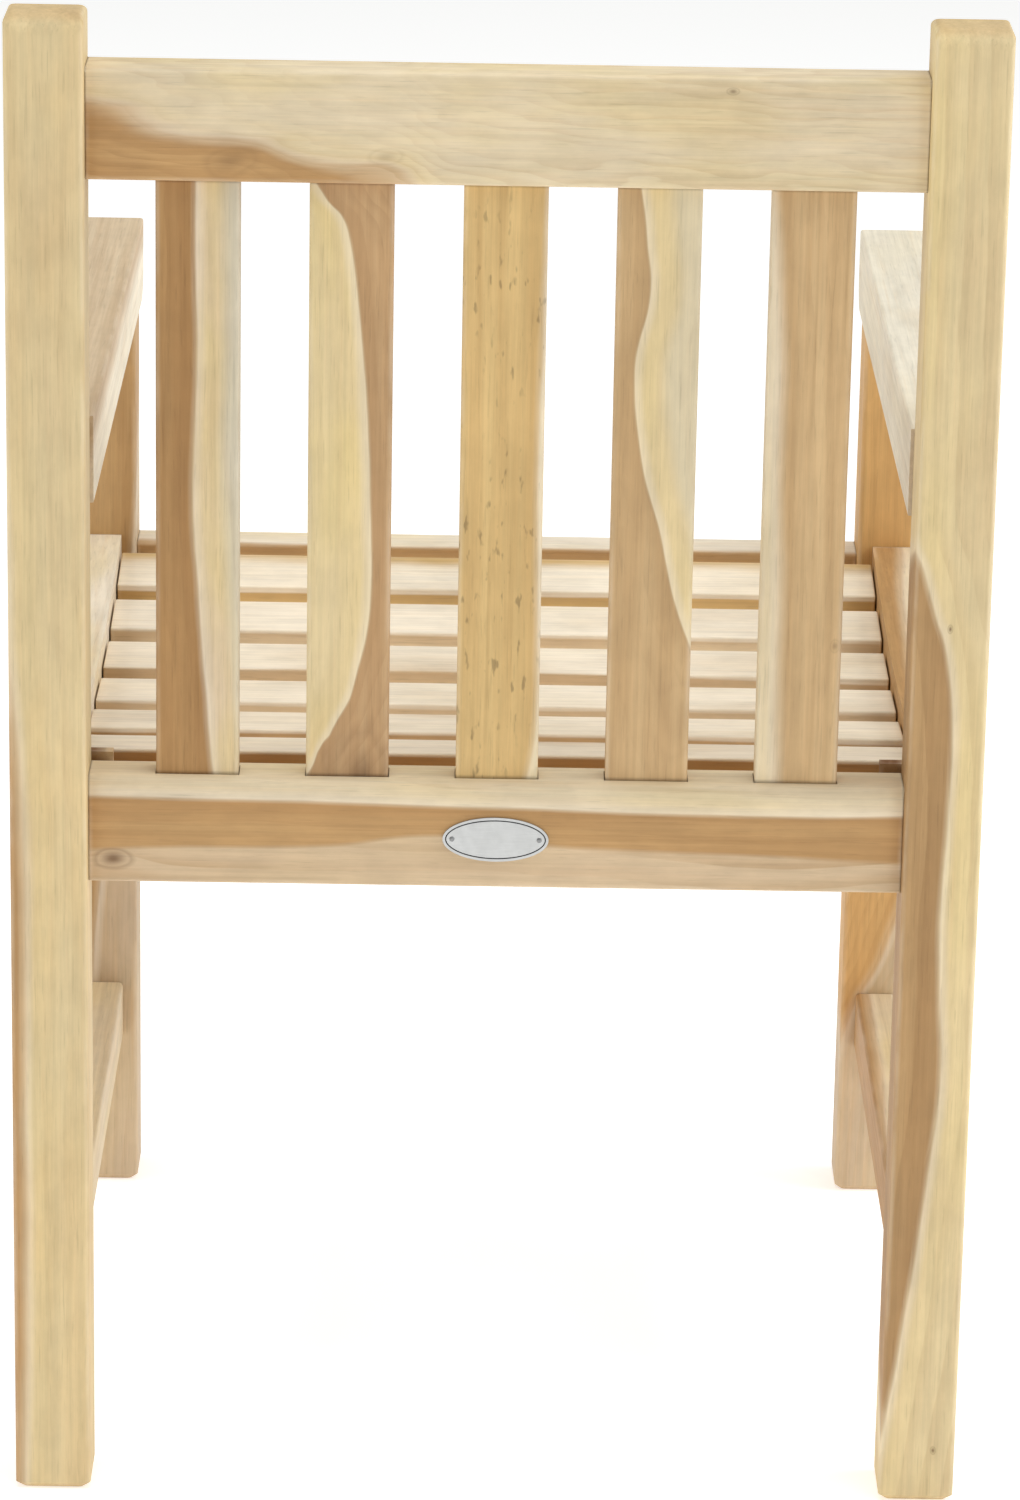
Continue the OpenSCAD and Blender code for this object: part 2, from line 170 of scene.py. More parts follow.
# %% [markdown]
# ## Tools for one board
#
# Almost every piece of this chair is one planed board with softened edges. It could be one cube
# with a bevel, but a joiner treats its edges differently: a generous round where a hand rests, a
# small one along a slat, and a crisp end where it meets a post. So the helpers here add a block at
# its place, select edges in code by where they lie, and give each group of edges its own radius.

# %% Helpers to add a block and to select on it
MM = 0.001
NEAR = 0.02 * MM


def block(name, low, high):
    """Adds a cube between two corners as the active object, with its place in its mesh."""
    bpy.ops.object.select_all(action="DESELECT")
    low, high = Vector(low), Vector(high)
    bpy.ops.mesh.primitive_cube_add(size=1, location=(low + high) / 2, scale=high - low)
    piece = bpy.context.active_object
    piece.name = name
    piece.data.name = name
    bpy.ops.object.transform_apply(location=True, rotation=True, scale=True)
    return piece


def select(piece, kind, test):
    """In edit mode, selects the faces or edges whose middle and direction pass the test."""
    bpy.ops.mesh.select_mode(type="FACE" if kind == "faces" else "EDGE")
    bpy.ops.mesh.select_all(action="DESELECT")
    mesh = bmesh.from_edit_mesh(piece.data)
    count = 0
    for part in getattr(mesh, kind):
        if kind == "faces":
            chosen = test(part.calc_center_median(), part.normal)
        else:
            a, b = part.verts
            chosen = test((a.co + b.co) / 2, (a.co - b.co).normalized())
        if chosen:
            part.select_set(True)
            count += 1
    mesh.select_flush_mode()
    bmesh.update_edit_mesh(piece.data)
    return count


def near(a, b):
    return abs(a - b) < NEAR


def long_edges(axis):
    """A test for the edges that run along an axis."""
    return lambda mid, way: abs(way[axis]) > 0.99


# %% Helpers to cut, bevel and soften
DOUBLES = 0.001 * MM
SHARP_ANGLE = math.radians(32)


def cut(piece, axis, places):
    """Cuts the whole piece across an axis at each place."""
    bpy.ops.object.mode_set(mode="EDIT")
    for place in places:
        bpy.ops.mesh.select_all(action="SELECT")
        point, normal = Vector((0, 0, 0)), Vector((0, 0, 0))
        point[axis], normal[axis] = place, 1
        bpy.ops.mesh.bisect(plane_co=point, plane_no=normal)
    bpy.ops.object.mode_set(mode="OBJECT")


def bevel_edges(piece, test, width, segments):
    """Bevels the edges that pass the test, in edit mode."""
    bpy.ops.object.mode_set(mode="EDIT")
    select(piece, "edges", test)
    bpy.ops.mesh.bevel(offset=width, offset_type="OFFSET", segments=segments, affect="EDGES")
    bpy.ops.object.mode_set(mode="OBJECT")


def apply_modifier(piece, kind, **settings):
    bpy.context.view_layer.objects.active = piece
    modifier = piece.modifiers.new(kind.lower(), kind)
    for key, value in settings.items():
        setattr(modifier, key, value)
    bpy.ops.object.modifier_apply(modifier=modifier.name)


def soften(piece, radii, segments=4):
    """Rounds edges by a list of (radius, test). The last test that an edge passes holds."""
    largest = max(radius for radius, _ in radii)
    weights = piece.data.attributes.new("bevel_weight_edge", "FLOAT", "EDGE")
    points = piece.data.vertices
    for edge in piece.data.edges:
        a, b = (points[i].co for i in edge.vertices)
        for radius, test in radii:
            if test((a + b) / 2, (a - b).normalized()):
                weights.data[edge.index].value = radius / largest
    apply_modifier(piece, "BEVEL", width=largest, segments=segments, limit_method="WEIGHT",
                   offset_type="OFFSET")
    finish_mesh(piece)


def finish_mesh(piece):
    """Merges doubles, points the faces outwards and shades the rounds smooth."""
    bpy.ops.object.select_all(action="DESELECT")
    piece.select_set(True)
    bpy.context.view_layer.objects.active = piece
    bpy.ops.object.mode_set(mode="EDIT")
    bpy.ops.mesh.select_all(action="SELECT")
    bpy.ops.mesh.remove_doubles(threshold=DOUBLES)
    bpy.ops.mesh.normals_make_consistent(inside=False)
    bpy.ops.object.mode_set(mode="OBJECT")
    bpy.ops.object.shade_smooth_by_angle(angle=SHARP_ANGLE)
    apply_modifier(piece, "WEIGHTED_NORMAL", keep_sharp=True)
    print(piece.name, "faces:", len(piece.data.polygons))


def stand_for(piece, slot_name, *node_names):
    """The piece rides on the chair and hides the CAD nodes that it stands for. Its slot name is not
    used.
    """
    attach(piece, "root")
    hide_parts(*node_names)
    return piece


# %% [markdown]
# ## Rear legs
#
# Each rear leg is one straight square post that also carries the back. Its top end is rounded over
# front and back, so that rain runs off and no hand meets a sharp corner, and its foot has a small
# bevel, so that it doesn't split when the chair is dragged. Sculpting would be slow and uneven, so
# the foot is bevelled in edit mode and the long edges and the top get a radius each.

# %% Model the rear legs
LEG_ROUND = 3 * MM
POST_ROUND = 12 * MM
POST_SIDE_ROUND = 5 * MM
FOOT_BEVEL = 4 * MM
JOINT_CHAMFER = 0.7 * MM


def leg(name, top_rounds):
    """A square post with a bevelled foot. Without top rounds it stops under the armrest."""
    low, high = (corner.copy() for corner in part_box(name))
    if not top_rounds:
        high.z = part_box("armrest_left")[0].z
    piece = block(name + "_post", low, high)
    bevel_edges(piece, lambda mid, way: near(mid.z, low.z), FOOT_BEVEL, 1)
    radii = [(LEG_ROUND, lambda mid, way: abs(way.z) > 0.5)]
    if top_rounds:
        radii.append((POST_SIDE_ROUND, lambda mid, way: near(mid.z, high.z) and abs(way.y) > 0.5))
        radii.append((POST_ROUND, lambda mid, way: near(mid.z, high.z) and abs(way.x) > 0.5))
    else:
        radii.append((JOINT_CHAMFER, lambda mid, way: near(mid.z, high.z)))
    soften(piece, radii, segments=6)
    return stand_for(piece, "teak_legs", name)


rear_left = leg("rear_leg_left", True)
rear_right = leg("rear_leg_right", True)

# %% [markdown]
# ## Front legs
#
# The front legs are the same square section, but they stop under the armrests, which sit on them.
# They are made by the same helper, with a fine chamfer at the top that draws the joint as a line.

# %% Model the front legs
front_left = leg("front_leg_left", False)
front_right = leg("front_leg_right", False)

# %% [markdown]
# ## Back slats
#
# Five upright slats close the back. They are thin, so their edges have a small round. One slat is
# modelled, and the others are copies with their own mesh, each moved to its place.

# %% Model one back slat and copy it
SLAT_ROUND = 1.5 * MM


def copy_of(piece, name, matrix):
    """A copy with its own mesh, moved or turned by the matrix."""
    other = piece.copy()
    other.data = piece.data.copy()
    other.name = other.data.name = name
    bpy.context.collection.objects.link(other)
    other.data.transform(matrix)
    return other


slat_low, slat_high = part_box("back_slat_1")
first_slat = block("back_slat_1_board", slat_low, slat_high)
soften(first_slat, [(SLAT_ROUND, long_edges(2))])
back_slats = [first_slat]
for number in range(2, 6):
    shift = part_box(f"back_slat_{number}")[0] - slat_low
    back_slats.append(copy_of(first_slat, f"back_slat_{number}_board", Matrix.Translation(shift)))
for number, slat in enumerate(back_slats, 1):
    stand_for(slat, "teak_back_slats", f"back_slat_{number}")

# %% [markdown]
# ## Rear rails
#
# The top rail and the rear seat rail hold the back slats, which stand in shallow housings. The dark
# line round each slat is a real gap, so it is modelled: the rail is cut across at both sides of
# every slat, and the faces between the cuts are pushed in. A texture could draw such a line, but it
# would vanish from below. The ends carry a fine chamfer where they meet the posts.

# %% Model the rear rails
HOUSING_GAP = 0.5 * MM
HOUSING_DEPTH = 8 * MM
RAIL_ROUND = 3 * MM
TOP_RAIL_BACK_ROUND = 5 * MM
SEAT_RAIL_BACK_ROUND = 9 * MM


def pocket(piece, face_z, direction, depth, boxes):
    """Pushes the faces at height face_z that lie in one of the boxes into the piece."""
    bpy.ops.object.mode_set(mode="EDIT")

    def inside(mid, normal):
        if not near(mid.z, face_z) or normal.z * direction < 0.5:
            return False
        return any(lo.x < mid.x < hi.x and lo.y < mid.y < hi.y for lo, hi in boxes)

    found = select(piece, "faces", inside)
    bpy.ops.mesh.extrude_region_move(TRANSFORM_OT_translate={"value": (0, 0, -direction * depth)})
    bpy.ops.object.mode_set(mode="OBJECT")
    print(piece.name, "housings:", found)


def rear_rail(name, face_up, top_back_round):
    """A level rail between the rear legs, with a housing for each back slat."""
    low, high = (corner.copy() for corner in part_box(name))
    low.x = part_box("rear_leg_right")[1].x
    high.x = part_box("rear_leg_left")[0].x
    piece = block(name + "_board", low, high)
    grow = Vector((HOUSING_GAP, HOUSING_GAP, 0))
    boxes = [(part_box(f"back_slat_{n}")[0] - grow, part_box(f"back_slat_{n}")[1] + grow)
             for n in range(1, 6)]
    cut(piece, 0, [side.x for pair in boxes for side in pair])
    cut(piece, 1, [boxes[0][0].y, boxes[0][1].y])
    pocket(piece, high.z if face_up else low.z, 1 if face_up else -1, HOUSING_DEPTH, boxes)

    def lengthwise(mid, way):
        on_back_or_front = near(mid.y, low.y) or near(mid.y, high.y)
        on_top_or_under = near(mid.z, low.z) or near(mid.z, high.z)
        return abs(way.x) > 0.99 and on_back_or_front and on_top_or_under

    def top_back(mid, way):
        return lengthwise(mid, way) and near(mid.y, high.y) and near(mid.z, high.z)

    def at_joint(mid, way):
        return abs(way.x) < 0.01 and (near(mid.x, low.x) or near(mid.x, high.x))

    soften(piece, [
        (RAIL_ROUND, lengthwise),
        (top_back_round, top_back),
        (JOINT_CHAMFER, at_joint),
    ])
    return stand_for(piece, "teak_rails", name)


top_rail = rear_rail("top_rail", False, TOP_RAIL_BACK_ROUND)
seat_rail_rear = rear_rail("rear_seat_rail", True, SEAT_RAIL_BACK_ROUND)

# %% [markdown]
# ## Front rail, stretchers and side rails
#
# The front rail and the two low stretchers are plain boards with small rounds. The side seat
# rails have a hollow top edge, which follows the dip of the seat. That edge could be bent with a
# lattice, but a joiner saws it on an arc, and a Boolean with a very large, finely divided disc
# does the same.

# %% Model the front rail and the stretchers
def board(name, axis, start, end):
    """A plain board that runs along an axis from start to end, without its hidden tenons."""
    low, high = (corner.copy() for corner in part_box(name))
    low[axis], high[axis] = start, end
    piece = block(name + "_board", low, high)
    soften(piece, [
        (RAIL_ROUND, long_edges(axis)),
        (JOINT_CHAMFER, lambda mid, way: abs(way[axis]) < 0.01),
    ])
    return stand_for(piece, "teak_rails", name)


front_rail = board("front_seat_rail", 0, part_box("front_leg_right")[1].x,
                   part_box("front_leg_left")[0].x)
front_joint_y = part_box("front_leg_left")[1].y
rear_joint_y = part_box("rear_leg_left")[0].y
stretchers = [board(f"stretcher_{side}", 1, front_joint_y, rear_joint_y)
              for side in ("left", "right")]

# %% Saw the hollow top of the side rails
SIDE_RAIL_ROUND = 1.5 * MM
RAIL_DIP = 14 * MM
SAW_SIDES = 720


def side_rail(name):
    """A side seat rail with its top edge sawn hollow."""
    low, high = (corner.copy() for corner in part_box(name))
    low.y, high.y = front_joint_y, rear_joint_y
    piece = block(name + "_board", low, high)
    chord = high.y - low.y
    radius = (chord * chord / 4 + RAIL_DIP * RAIL_DIP) / (2 * RAIL_DIP)
    bpy.ops.object.select_all(action="DESELECT")
    bpy.ops.mesh.primitive_cylinder_add(
        vertices=SAW_SIDES, radius=radius, depth=4 * (high.x - low.x), rotation=(0, math.pi / 2, 0),
        location=((low.x + high.x) / 2, (low.y + high.y) / 2, high.z - RAIL_DIP + radius))
    saw = bpy.context.active_object
    apply_modifier(piece, "BOOLEAN", operation="DIFFERENCE", object=saw, solver="EXACT")
    bpy.data.objects.remove(saw)

    def side_edge(mid, way):
        return (near(mid.x, low.x) or near(mid.x, high.x)) and abs(way.y) > 0.9

    soften(piece, [
        (SIDE_RAIL_ROUND, side_edge),
        (JOINT_CHAMFER, lambda mid, way: near(mid.y, low.y) or near(mid.y, high.y)),
    ], segments=3)
    return stand_for(piece, "teak_rails", name)


side_rails = [side_rail("side_seat_rail_left"), side_rail("side_seat_rail_right")]

# %% [markdown]
# ## Armrests
#
# An armrest is a stout bar that sits on the front leg and dies into the rear one. The hand rests
# on it, so its upper edges have a large round, and its nose curls under at the front. The curl is
# a wide bevel made first, and then every edge of that outline is rounded with its own radius.

# %% Model the armrests
ARM_ROUND = 8 * MM
ARM_UNDER_ROUND = 4 * MM
ARM_CORNER_ROUND = 5 * MM
NOSE_ROUND = 20 * MM


def armrest(name):
    """An armrest with a curled nose, cut off where it meets the rear leg."""
    low, high = (corner.copy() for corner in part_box(name))
    high.y = rear_joint_y
    piece = block(name + "_bar", low, high)
    bevel_edges(piece, lambda mid, way: near(mid.y, low.y) and near(mid.z, low.z), NOSE_ROUND, 10)
    under = low.z + NOSE_ROUND

    def on_side(mid):
        return near(mid.x, low.x) or near(mid.x, high.x)

    soften(piece, [
        (ARM_UNDER_ROUND, lambda mid, way: on_side(mid) and mid.z < under),
        (ARM_CORNER_ROUND, lambda mid, way: on_side(mid) and near(mid.y, low.y)),
        (ARM_ROUND, lambda mid, way: on_side(mid) and near(mid.z, high.z)),
        (ARM_ROUND, lambda mid, way: near(mid.y, low.y) and near(mid.z, high.z)),
        (JOINT_CHAMFER, lambda mid, way: near(mid.y, high.y)),
    ], segments=6)
    return stand_for(piece, "teak_arms", name)


arms = [armrest("armrest_left"), armrest("armrest_right")]

# %% [markdown]
# ## Seat slats
#
# Six slats make the seat. They lie side by side on the arc of a shallow hollow, so each leans a
# little more than its neighbour. The first is modelled flat over the origin, and the copies are
# turned about the hollow's far axis, as the CAD lays them.

# %% Measure the hollow and lay the slats
SEAT_COUNT = 6
SEAT_SLAT_W = 50 * MM
SEAT_SLAT_T = 18 * MM
SEAT_LOW_Z = 432 * MM
SEAT_DIP = 22 * MM
SLAT_END_ROUND = 1.2 * MM

hollow_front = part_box("front_seat_rail")[1].y
hollow_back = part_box("rear_seat_rail")[0].y
hollow_open = hollow_back - hollow_front
hollow_radius = (hollow_open**2 / 4 + SEAT_DIP**2) / (2 * SEAT_DIP)
hollow_centre = Vector((0, (hollow_front + hollow_back) / 2, SEAT_LOW_Z + hollow_radius))
slat_turn = SEAT_SLAT_W / hollow_radius
whole_turn = 2 * math.asin(hollow_open / 2 / hollow_radius)
gap_turn = (whole_turn - SEAT_COUNT * slat_turn) / (SEAT_COUNT + 1)
step_turn = slat_turn + gap_turn
print("hollow radius", round(hollow_radius, 4), "step", round(math.degrees(step_turn), 3), "deg")


def slat_angle(number):
    """How far seat slat 1 to 6 leans, in radians."""
    return (number - (SEAT_COUNT + 1) / 2) * step_turn


seat_low, seat_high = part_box("seat_slat_1")
half_length = (seat_high.x - seat_low.x) / 2
flat_slat = block("flat_slat", (-half_length, -SEAT_SLAT_W / 2, -hollow_radius - SEAT_SLAT_T),
                  (half_length, SEAT_SLAT_W / 2, -hollow_radius))
soften(flat_slat, [
    (SLAT_ROUND, long_edges(0)),
    (SLAT_END_ROUND, lambda mid, way: abs(way.x) < 0.01),
])
seat_slats = []
for number in range(1, SEAT_COUNT + 1):
    lay = Matrix.Translation(hollow_centre) @ Matrix.Rotation(slat_angle(number), 4, "X")
    slat = copy_of(flat_slat, f"seat_slat_{number}_board", lay)
    seat_slats.append(stand_for(slat, "teak_seat", f"seat_slat_{number}"))
bpy.data.objects.remove(flat_slat)

# %% [markdown]
# ## Screws
#
# The seat slats are screwed from below through the cleats, and the cleats to the side rails. From
# under the seat only the heads show, deep in their holes, each with a cross-shaped recess. A disc
# at the tip is drawn out to the shank, then widened to the head and drawn back inside it for the
# recess. The recess is round at first, and its sides are pulled in until it is a cross.

# %% Model one screw
SCREW_D = 4 * MM
SCREW_HEAD_D = 8 * MM
SCREW_L = 32 * MM
RECESS_SHARE = 0.4
RECESS_DEPTH = 1.8 * MM
RECESS_TAPER = 0.5
CROSS_WAIST = 0.35


def model_screw():
    """A countersunk screw that points to +Z with the flat of its head at the origin."""
    bpy.ops.object.select_all(action="DESELECT")
    bpy.ops.mesh.primitive_circle_add(vertices=24, radius=SCREW_D / 2, fill_type="NGON",
                                      location=(0, 0, SCREW_L))
    screw = bpy.context.active_object
    screw.name = "screw"
    bpy.ops.object.transform_apply(location=True)
    bpy.ops.object.mode_set(mode="EDIT")
    bpy.ops.mesh.select_all(action="SELECT")
    cone = (SCREW_HEAD_D - SCREW_D) / 2
    steps = [(cone - SCREW_L, 1), (-cone, SCREW_HEAD_D / SCREW_D), (0, RECESS_SHARE),
             (RECESS_DEPTH, RECESS_TAPER)]
    for drop, grow in steps:
        bpy.ops.mesh.extrude_region_move(TRANSFORM_OT_translate={"value": (0, 0, drop)})
        bpy.ops.transform.resize(value=(grow, grow, 1))
    bpy.ops.object.mode_set(mode="OBJECT")
    for vertex in screw.data.vertices:
        within = vertex.co.xy.length < 1.1 * RECESS_SHARE * SCREW_HEAD_D / 2
        if within and vertex.co.z < 1.1 * RECESS_DEPTH:
            ray = math.atan2(vertex.co.y, vertex.co.x)
            vertex.co.xy *= CROSS_WAIST + (1 - CROSS_WAIST) * abs(math.cos(2 * ray)) ** 3
    finish_mesh(screw)
    return screw


screw_model = model_screw()

# %% Set the screws
SCREW_THROUGH = 20 * MM
CLEAT_SCREW_UP = 12 * MM
CLEAT_SCREW_STEP = 160 * MM


def join(pieces, name):
    """Joins the pieces into the first one."""
    bpy.ops.object.select_all(action="DESELECT")
    for piece in pieces:
        piece.select_set(True)
    bpy.context.view_layer.objects.active = pieces[0]
    bpy.ops.object.join()
    joined = bpy.context.active_object
    joined.name = name
    return joined


def set_screws(name, places):
    """Copies the screw to each place and joins the copies into one piece."""
    copies = [copy_of(screw_model, f"{name}_{i}", place) for i, place in enumerate(places)]
    return stand_for(join(copies, name + "_set"), "screw_steel", name)


side_face_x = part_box("side_seat_rail_left")[0].x
cleat_low, cleat_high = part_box("seat_cleat_left")
cleat_x = (cleat_low.x + cleat_high.x) / 2
slat_places = [
    Matrix.Translation(hollow_centre) @ Matrix.Rotation(slat_angle(n), 4, "X")
    @ Matrix.Translation((sign * cleat_x, 0, -hollow_radius - SEAT_SLAT_T - SCREW_THROUGH))
    for n in range(1, SEAT_COUNT + 1) for sign in (1, -1)]
slat_screws = set_screws("slat_screws", slat_places)

screw_mid_y = (front_joint_y + rear_joint_y) / 2
cleat_screw_z = cleat_low.z + CLEAT_SCREW_UP
cleat_places = [
    Matrix.Translation((sign * (side_face_x - SCREW_THROUGH), screw_mid_y + step, cleat_screw_z))
    @ Matrix.Rotation(sign * math.pi / 2, 4, "Y")
    for step in (-CLEAT_SCREW_STEP, 0, CLEAT_SCREW_STEP) for sign in (1, -1)]
cleat_screws = set_screws("cleat_screws", cleat_places)
bpy.data.objects.remove(screw_model)

# %% [markdown]
# ## Badge
#
# A small oval plate of brushed steel is pinned to the middle of the rear seat rail. On this chair
# it is blank. The plate starts as a flat circle pulled into an oval and drawn out to its
# thickness. Insets draw its border, and a shallow groove is pushed in between them. A printed line
# would be quicker, but only a real groove holds the dirt that makes the border dark.

# %% Model the badge plate
RIM_INSET = 0.3 * MM
GROOVE_INSET = 1.5 * MM
GROOVE_W = 0.7 * MM
GROOVE_D = 0.4 * MM

plate_low, plate_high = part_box("badge_plate")
plate_mid = (plate_low + plate_high) / 2
plate_thickness = plate_high.y - plate_low.y

bpy.ops.object.select_all(action="DESELECT")
bpy.ops.mesh.primitive_circle_add(vertices=128, radius=0.5, fill_type="NGON",
                                  location=(plate_mid.x, plate_low.y, plate_mid.z),
                                  rotation=(-math.pi / 2, 0, 0))
plate = bpy.context.active_object
plate.name = "badge_oval"
bpy.ops.object.transform_apply(location=False, rotation=True)
plate.scale = (plate_high.x - plate_low.x, 1, plate_high.z - plate_low.z)
bpy.ops.object.transform_apply(location=True, scale=True)
bpy.ops.object.mode_set(mode="EDIT")
bpy.ops.mesh.select_all(action="SELECT")
bpy.ops.mesh.extrude_region_move(TRANSFORM_OT_translate={"value": (0, plate_thickness, 0)})
for ring_width in (RIM_INSET, GROOVE_INSET - RIM_INSET, GROOVE_W):
    bpy.ops.mesh.inset(thickness=ring_width)
bpy.ops.object.mode_set(mode="OBJECT")
print("plate faces:", len(plate.data.polygons))

# %% Press the groove
bpy.ops.object.mode_set(mode="EDIT")
bpy.ops.mesh.select_mode(type="FACE")
bpy.ops.mesh.select_all(action="DESELECT")
mesh = bmesh.from_edit_mesh(plate.data)
front_faces = [face for face in mesh.faces if face.normal.y > 0.5]
centre_face = max(front_faces, key=lambda face: len(face.verts))
rim_of_centre = set(centre_face.edges)
for face in front_faces:
    if face is not centre_face and rim_of_centre.intersection(face.edges):
        face.select_set(True)
bmesh.update_edit_mesh(plate.data)
bpy.ops.mesh.extrude_region_move(TRANSFORM_OT_translate={"value": (0, -GROOVE_D, 0)})
bpy.ops.object.mode_set(mode="OBJECT")
finish_mesh(plate)
stand_for(plate, "badge_steel", "badge_plate")

# %% Model the pins
PIN_SPACING = 51 * MM
PIN_HEAD_D = 3 * MM
DOME = ((0.55, 0.94), (0.3, 0.8), (0.15, 0.6))  # share of the rise, share of the width left


def model_pin(sign):
    """A shallow domed pin head in front of the plate, at one side of it."""
    centre_x = sign * PIN_SPACING / 2
    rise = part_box("badge_pins")[1].y - plate_high.y
    bpy.ops.object.select_all(action="DESELECT")
    bpy.ops.mesh.primitive_circle_add(vertices=32, radius=PIN_HEAD_D / 2, fill_type="NGON",
                                      location=(centre_x, plate_high.y, plate_mid.z),
                                      rotation=(-math.pi / 2, 0, 0))
    pin = bpy.context.active_object
    pin.name = "badge_pin"
    bpy.ops.object.transform_apply(location=True, rotation=True)
    bpy.ops.object.mode_set(mode="EDIT")
    bpy.ops.mesh.select_all(action="SELECT")
    for share, size in DOME:
        bpy.ops.mesh.extrude_region_move(TRANSFORM_OT_translate={"value": (0, rise * share, 0)})
        bpy.ops.transform.resize(value=(size, 1, size),
                                 center_override=(centre_x, plate_high.y, plate_mid.z))
    bpy.ops.object.mode_set(mode="OBJECT")
    finish_mesh(pin)
    return pin


pin_set = join([model_pin(1), model_pin(-1)], "badge_pin_heads")
stand_for(pin_set, "badge_steel", "badge_pins")

# %% [markdown]
# ## Teak
#
# Teak has two woods in one log: brown heartwood inside and creamy sapwood outside. A board sawn
# near the edge of the log shows both, divided by one of the growth rings, so the border wanders
# along the board as the log did. Every board here is its own material, made from the same recipe.
# The recipe measures how far a point lies from that border. Rings, the thin dark border line and
# the change of colour all follow that one distance, as they do in a real log. Fine streaks, pores,
# yellow clouds and knots lie over it. An image of wood would repeat from piece to piece and
# stretch on the ends.

# %% Helpers to wire nodes
class Wiring:
    """Adds nodes to one material and returns their outputs."""

    def __init__(self, material):
        material.use_nodes = True
        self.tree = material.node_tree
        self.shader = self.tree.nodes["Principled BSDF"]

    def put(self, socket, value):
        if isinstance(value, bpy.types.NodeSocket):
            self.tree.links.new(value, socket)
        else:
            socket.default_value = value

    def math(self, operation, *values, clamp=False):
        node = self.tree.nodes.new("ShaderNodeMath")
        node.operation = operation
        node.use_clamp = clamp
        for socket, value in zip(node.inputs, values):
            self.put(socket, value)
        return node.outputs[0]

    def noise(self, vector, stretch, detail=2.0, rough=0.5):
        """Noise of about 0 to 1 on a stretched vector; stretch is in repeats per metre."""
        node = self.tree.nodes.new("ShaderNodeMapping")
        self.put(node.inputs["Vector"], vector)
        node.inputs["Scale"].default_value = stretch
        cloud = self.tree.nodes.new("ShaderNodeTexNoise")
        self.put(cloud.inputs["Vector"], node.outputs[0])
        cloud.inputs["Scale"].default_value = 1
        cloud.inputs["Detail"].default_value = detail
        cloud.inputs["Roughness"].default_value = rough
        return cloud.outputs["Fac"]

    def ramp(self, value, low, high, out_low=0.0, out_high=1.0):
        """A smooth step from out_low to out_high, while the value goes from low to high."""
        node = self.tree.nodes.new("ShaderNodeMapRange")
        node.interpolation_type = "SMOOTHSTEP"
        for socket, number in zip(node.inputs, (value, low, high, out_low, out_high)):
            self.put(socket, number)
        return node.outputs[0]

    def mix(self, share, first, second, blend="MIX"):
        node = self.tree.nodes.new("ShaderNodeMix")
        node.data_type = "RGBA"
        node.blend_type = blend
        self.put(node.inputs["Factor"], share)
        self.put(node.inputs["A"], self.colour(first))
        self.put(node.inputs["B"], self.colour(second))
        return node.outputs["Result"]

    def colour(self, value):
        return value if isinstance(value, bpy.types.NodeSocket) else (*value, 1.0)

    def curve(self, value, points):
        """A smooth curve through the points, in and out from 0 to 1."""
        node = self.tree.nodes.new("ShaderNodeFloatCurve")
        line = node.mapping.curves[0]
        for point in points[1:-1]:
            line.points.new(*point)
        line.points[0].location = points[0]
        line.points[len(points) - 1].location = points[-1]
        node.mapping.update()
        self.put(node.inputs["Value"], value)
        return node.outputs[0]

    def bump(self, height, strength, distance):
        """Gives the shader a fine relief."""
        node = self.tree.nodes.new("ShaderNodeBump")
        node.inputs["Strength"].default_value = strength
        node.inputs["Distance"].default_value = distance
        self.put(node.inputs["Height"], height)
        self.put(self.shader.inputs["Normal"], node.outputs[0])


# %% Colours of the wood
def linear(red, green, blue):
    """Screen values from 0 to 255 to the linear values that shaders use."""
    return tuple((c / 255 / 12.92) if c <= 10 else ((c / 255 + 0.055) / 1.055) ** 2.4
                 for c in (red, green, blue))


CREAM = linear(223, 204, 171)
PALE = linear(240, 227, 206)
IVORY = linear(230, 220, 200)
BISCUIT = linear(215, 192, 159)
PUTTY = linear(199, 174, 143)
STRAW = linear(224, 200, 142)
SAND = linear(222, 199, 151)
GOLD = linear(224, 190, 130)
HONEY = linear(215, 182, 135)
TAN = linear(200, 159, 107)
HAZEL = linear(205, 167, 116)
BROWN = linear(182, 141, 91)
OAT = linear(208, 175, 129)
FAWN = linear(187, 150, 103)
WALNUT_PALE = linear(200, 163, 119)
STRAW_PALE = linear(220, 197, 149)
GOLD_DEEP = linear(224, 180, 118)
UMBER = linear(140, 100, 64)
ASH = linear(206, 197, 176)
BISQUE = linear(226, 199, 160)
BISQUE_PALE = linear(238, 216, 180)

# %% [markdown]
# The recipe works in the board's own directions: across its seen face, through its thickness and
# along its grain. A Mapping node turns the shared frame into these, so one recipe serves upright
# posts, level rails and leaning slats. Here "across" runs from left to right, or from top to bottom
# on a level board, as seen from behind the chair, and both it and "along" count from 0 to 1.

# %% Turn the shared frame into a board's directions
ROWS = {
    "Z": Matrix(((-1, 0, 0), (0, 1, 0), (0, 0, -1))),
    "X": Matrix(((0, 0, -1), (0, -1, 0), (-1, 0, 0))),
    "Y": Matrix(((-1, 0, 0), (0, 0, -1), (0, -1, 0))),
}


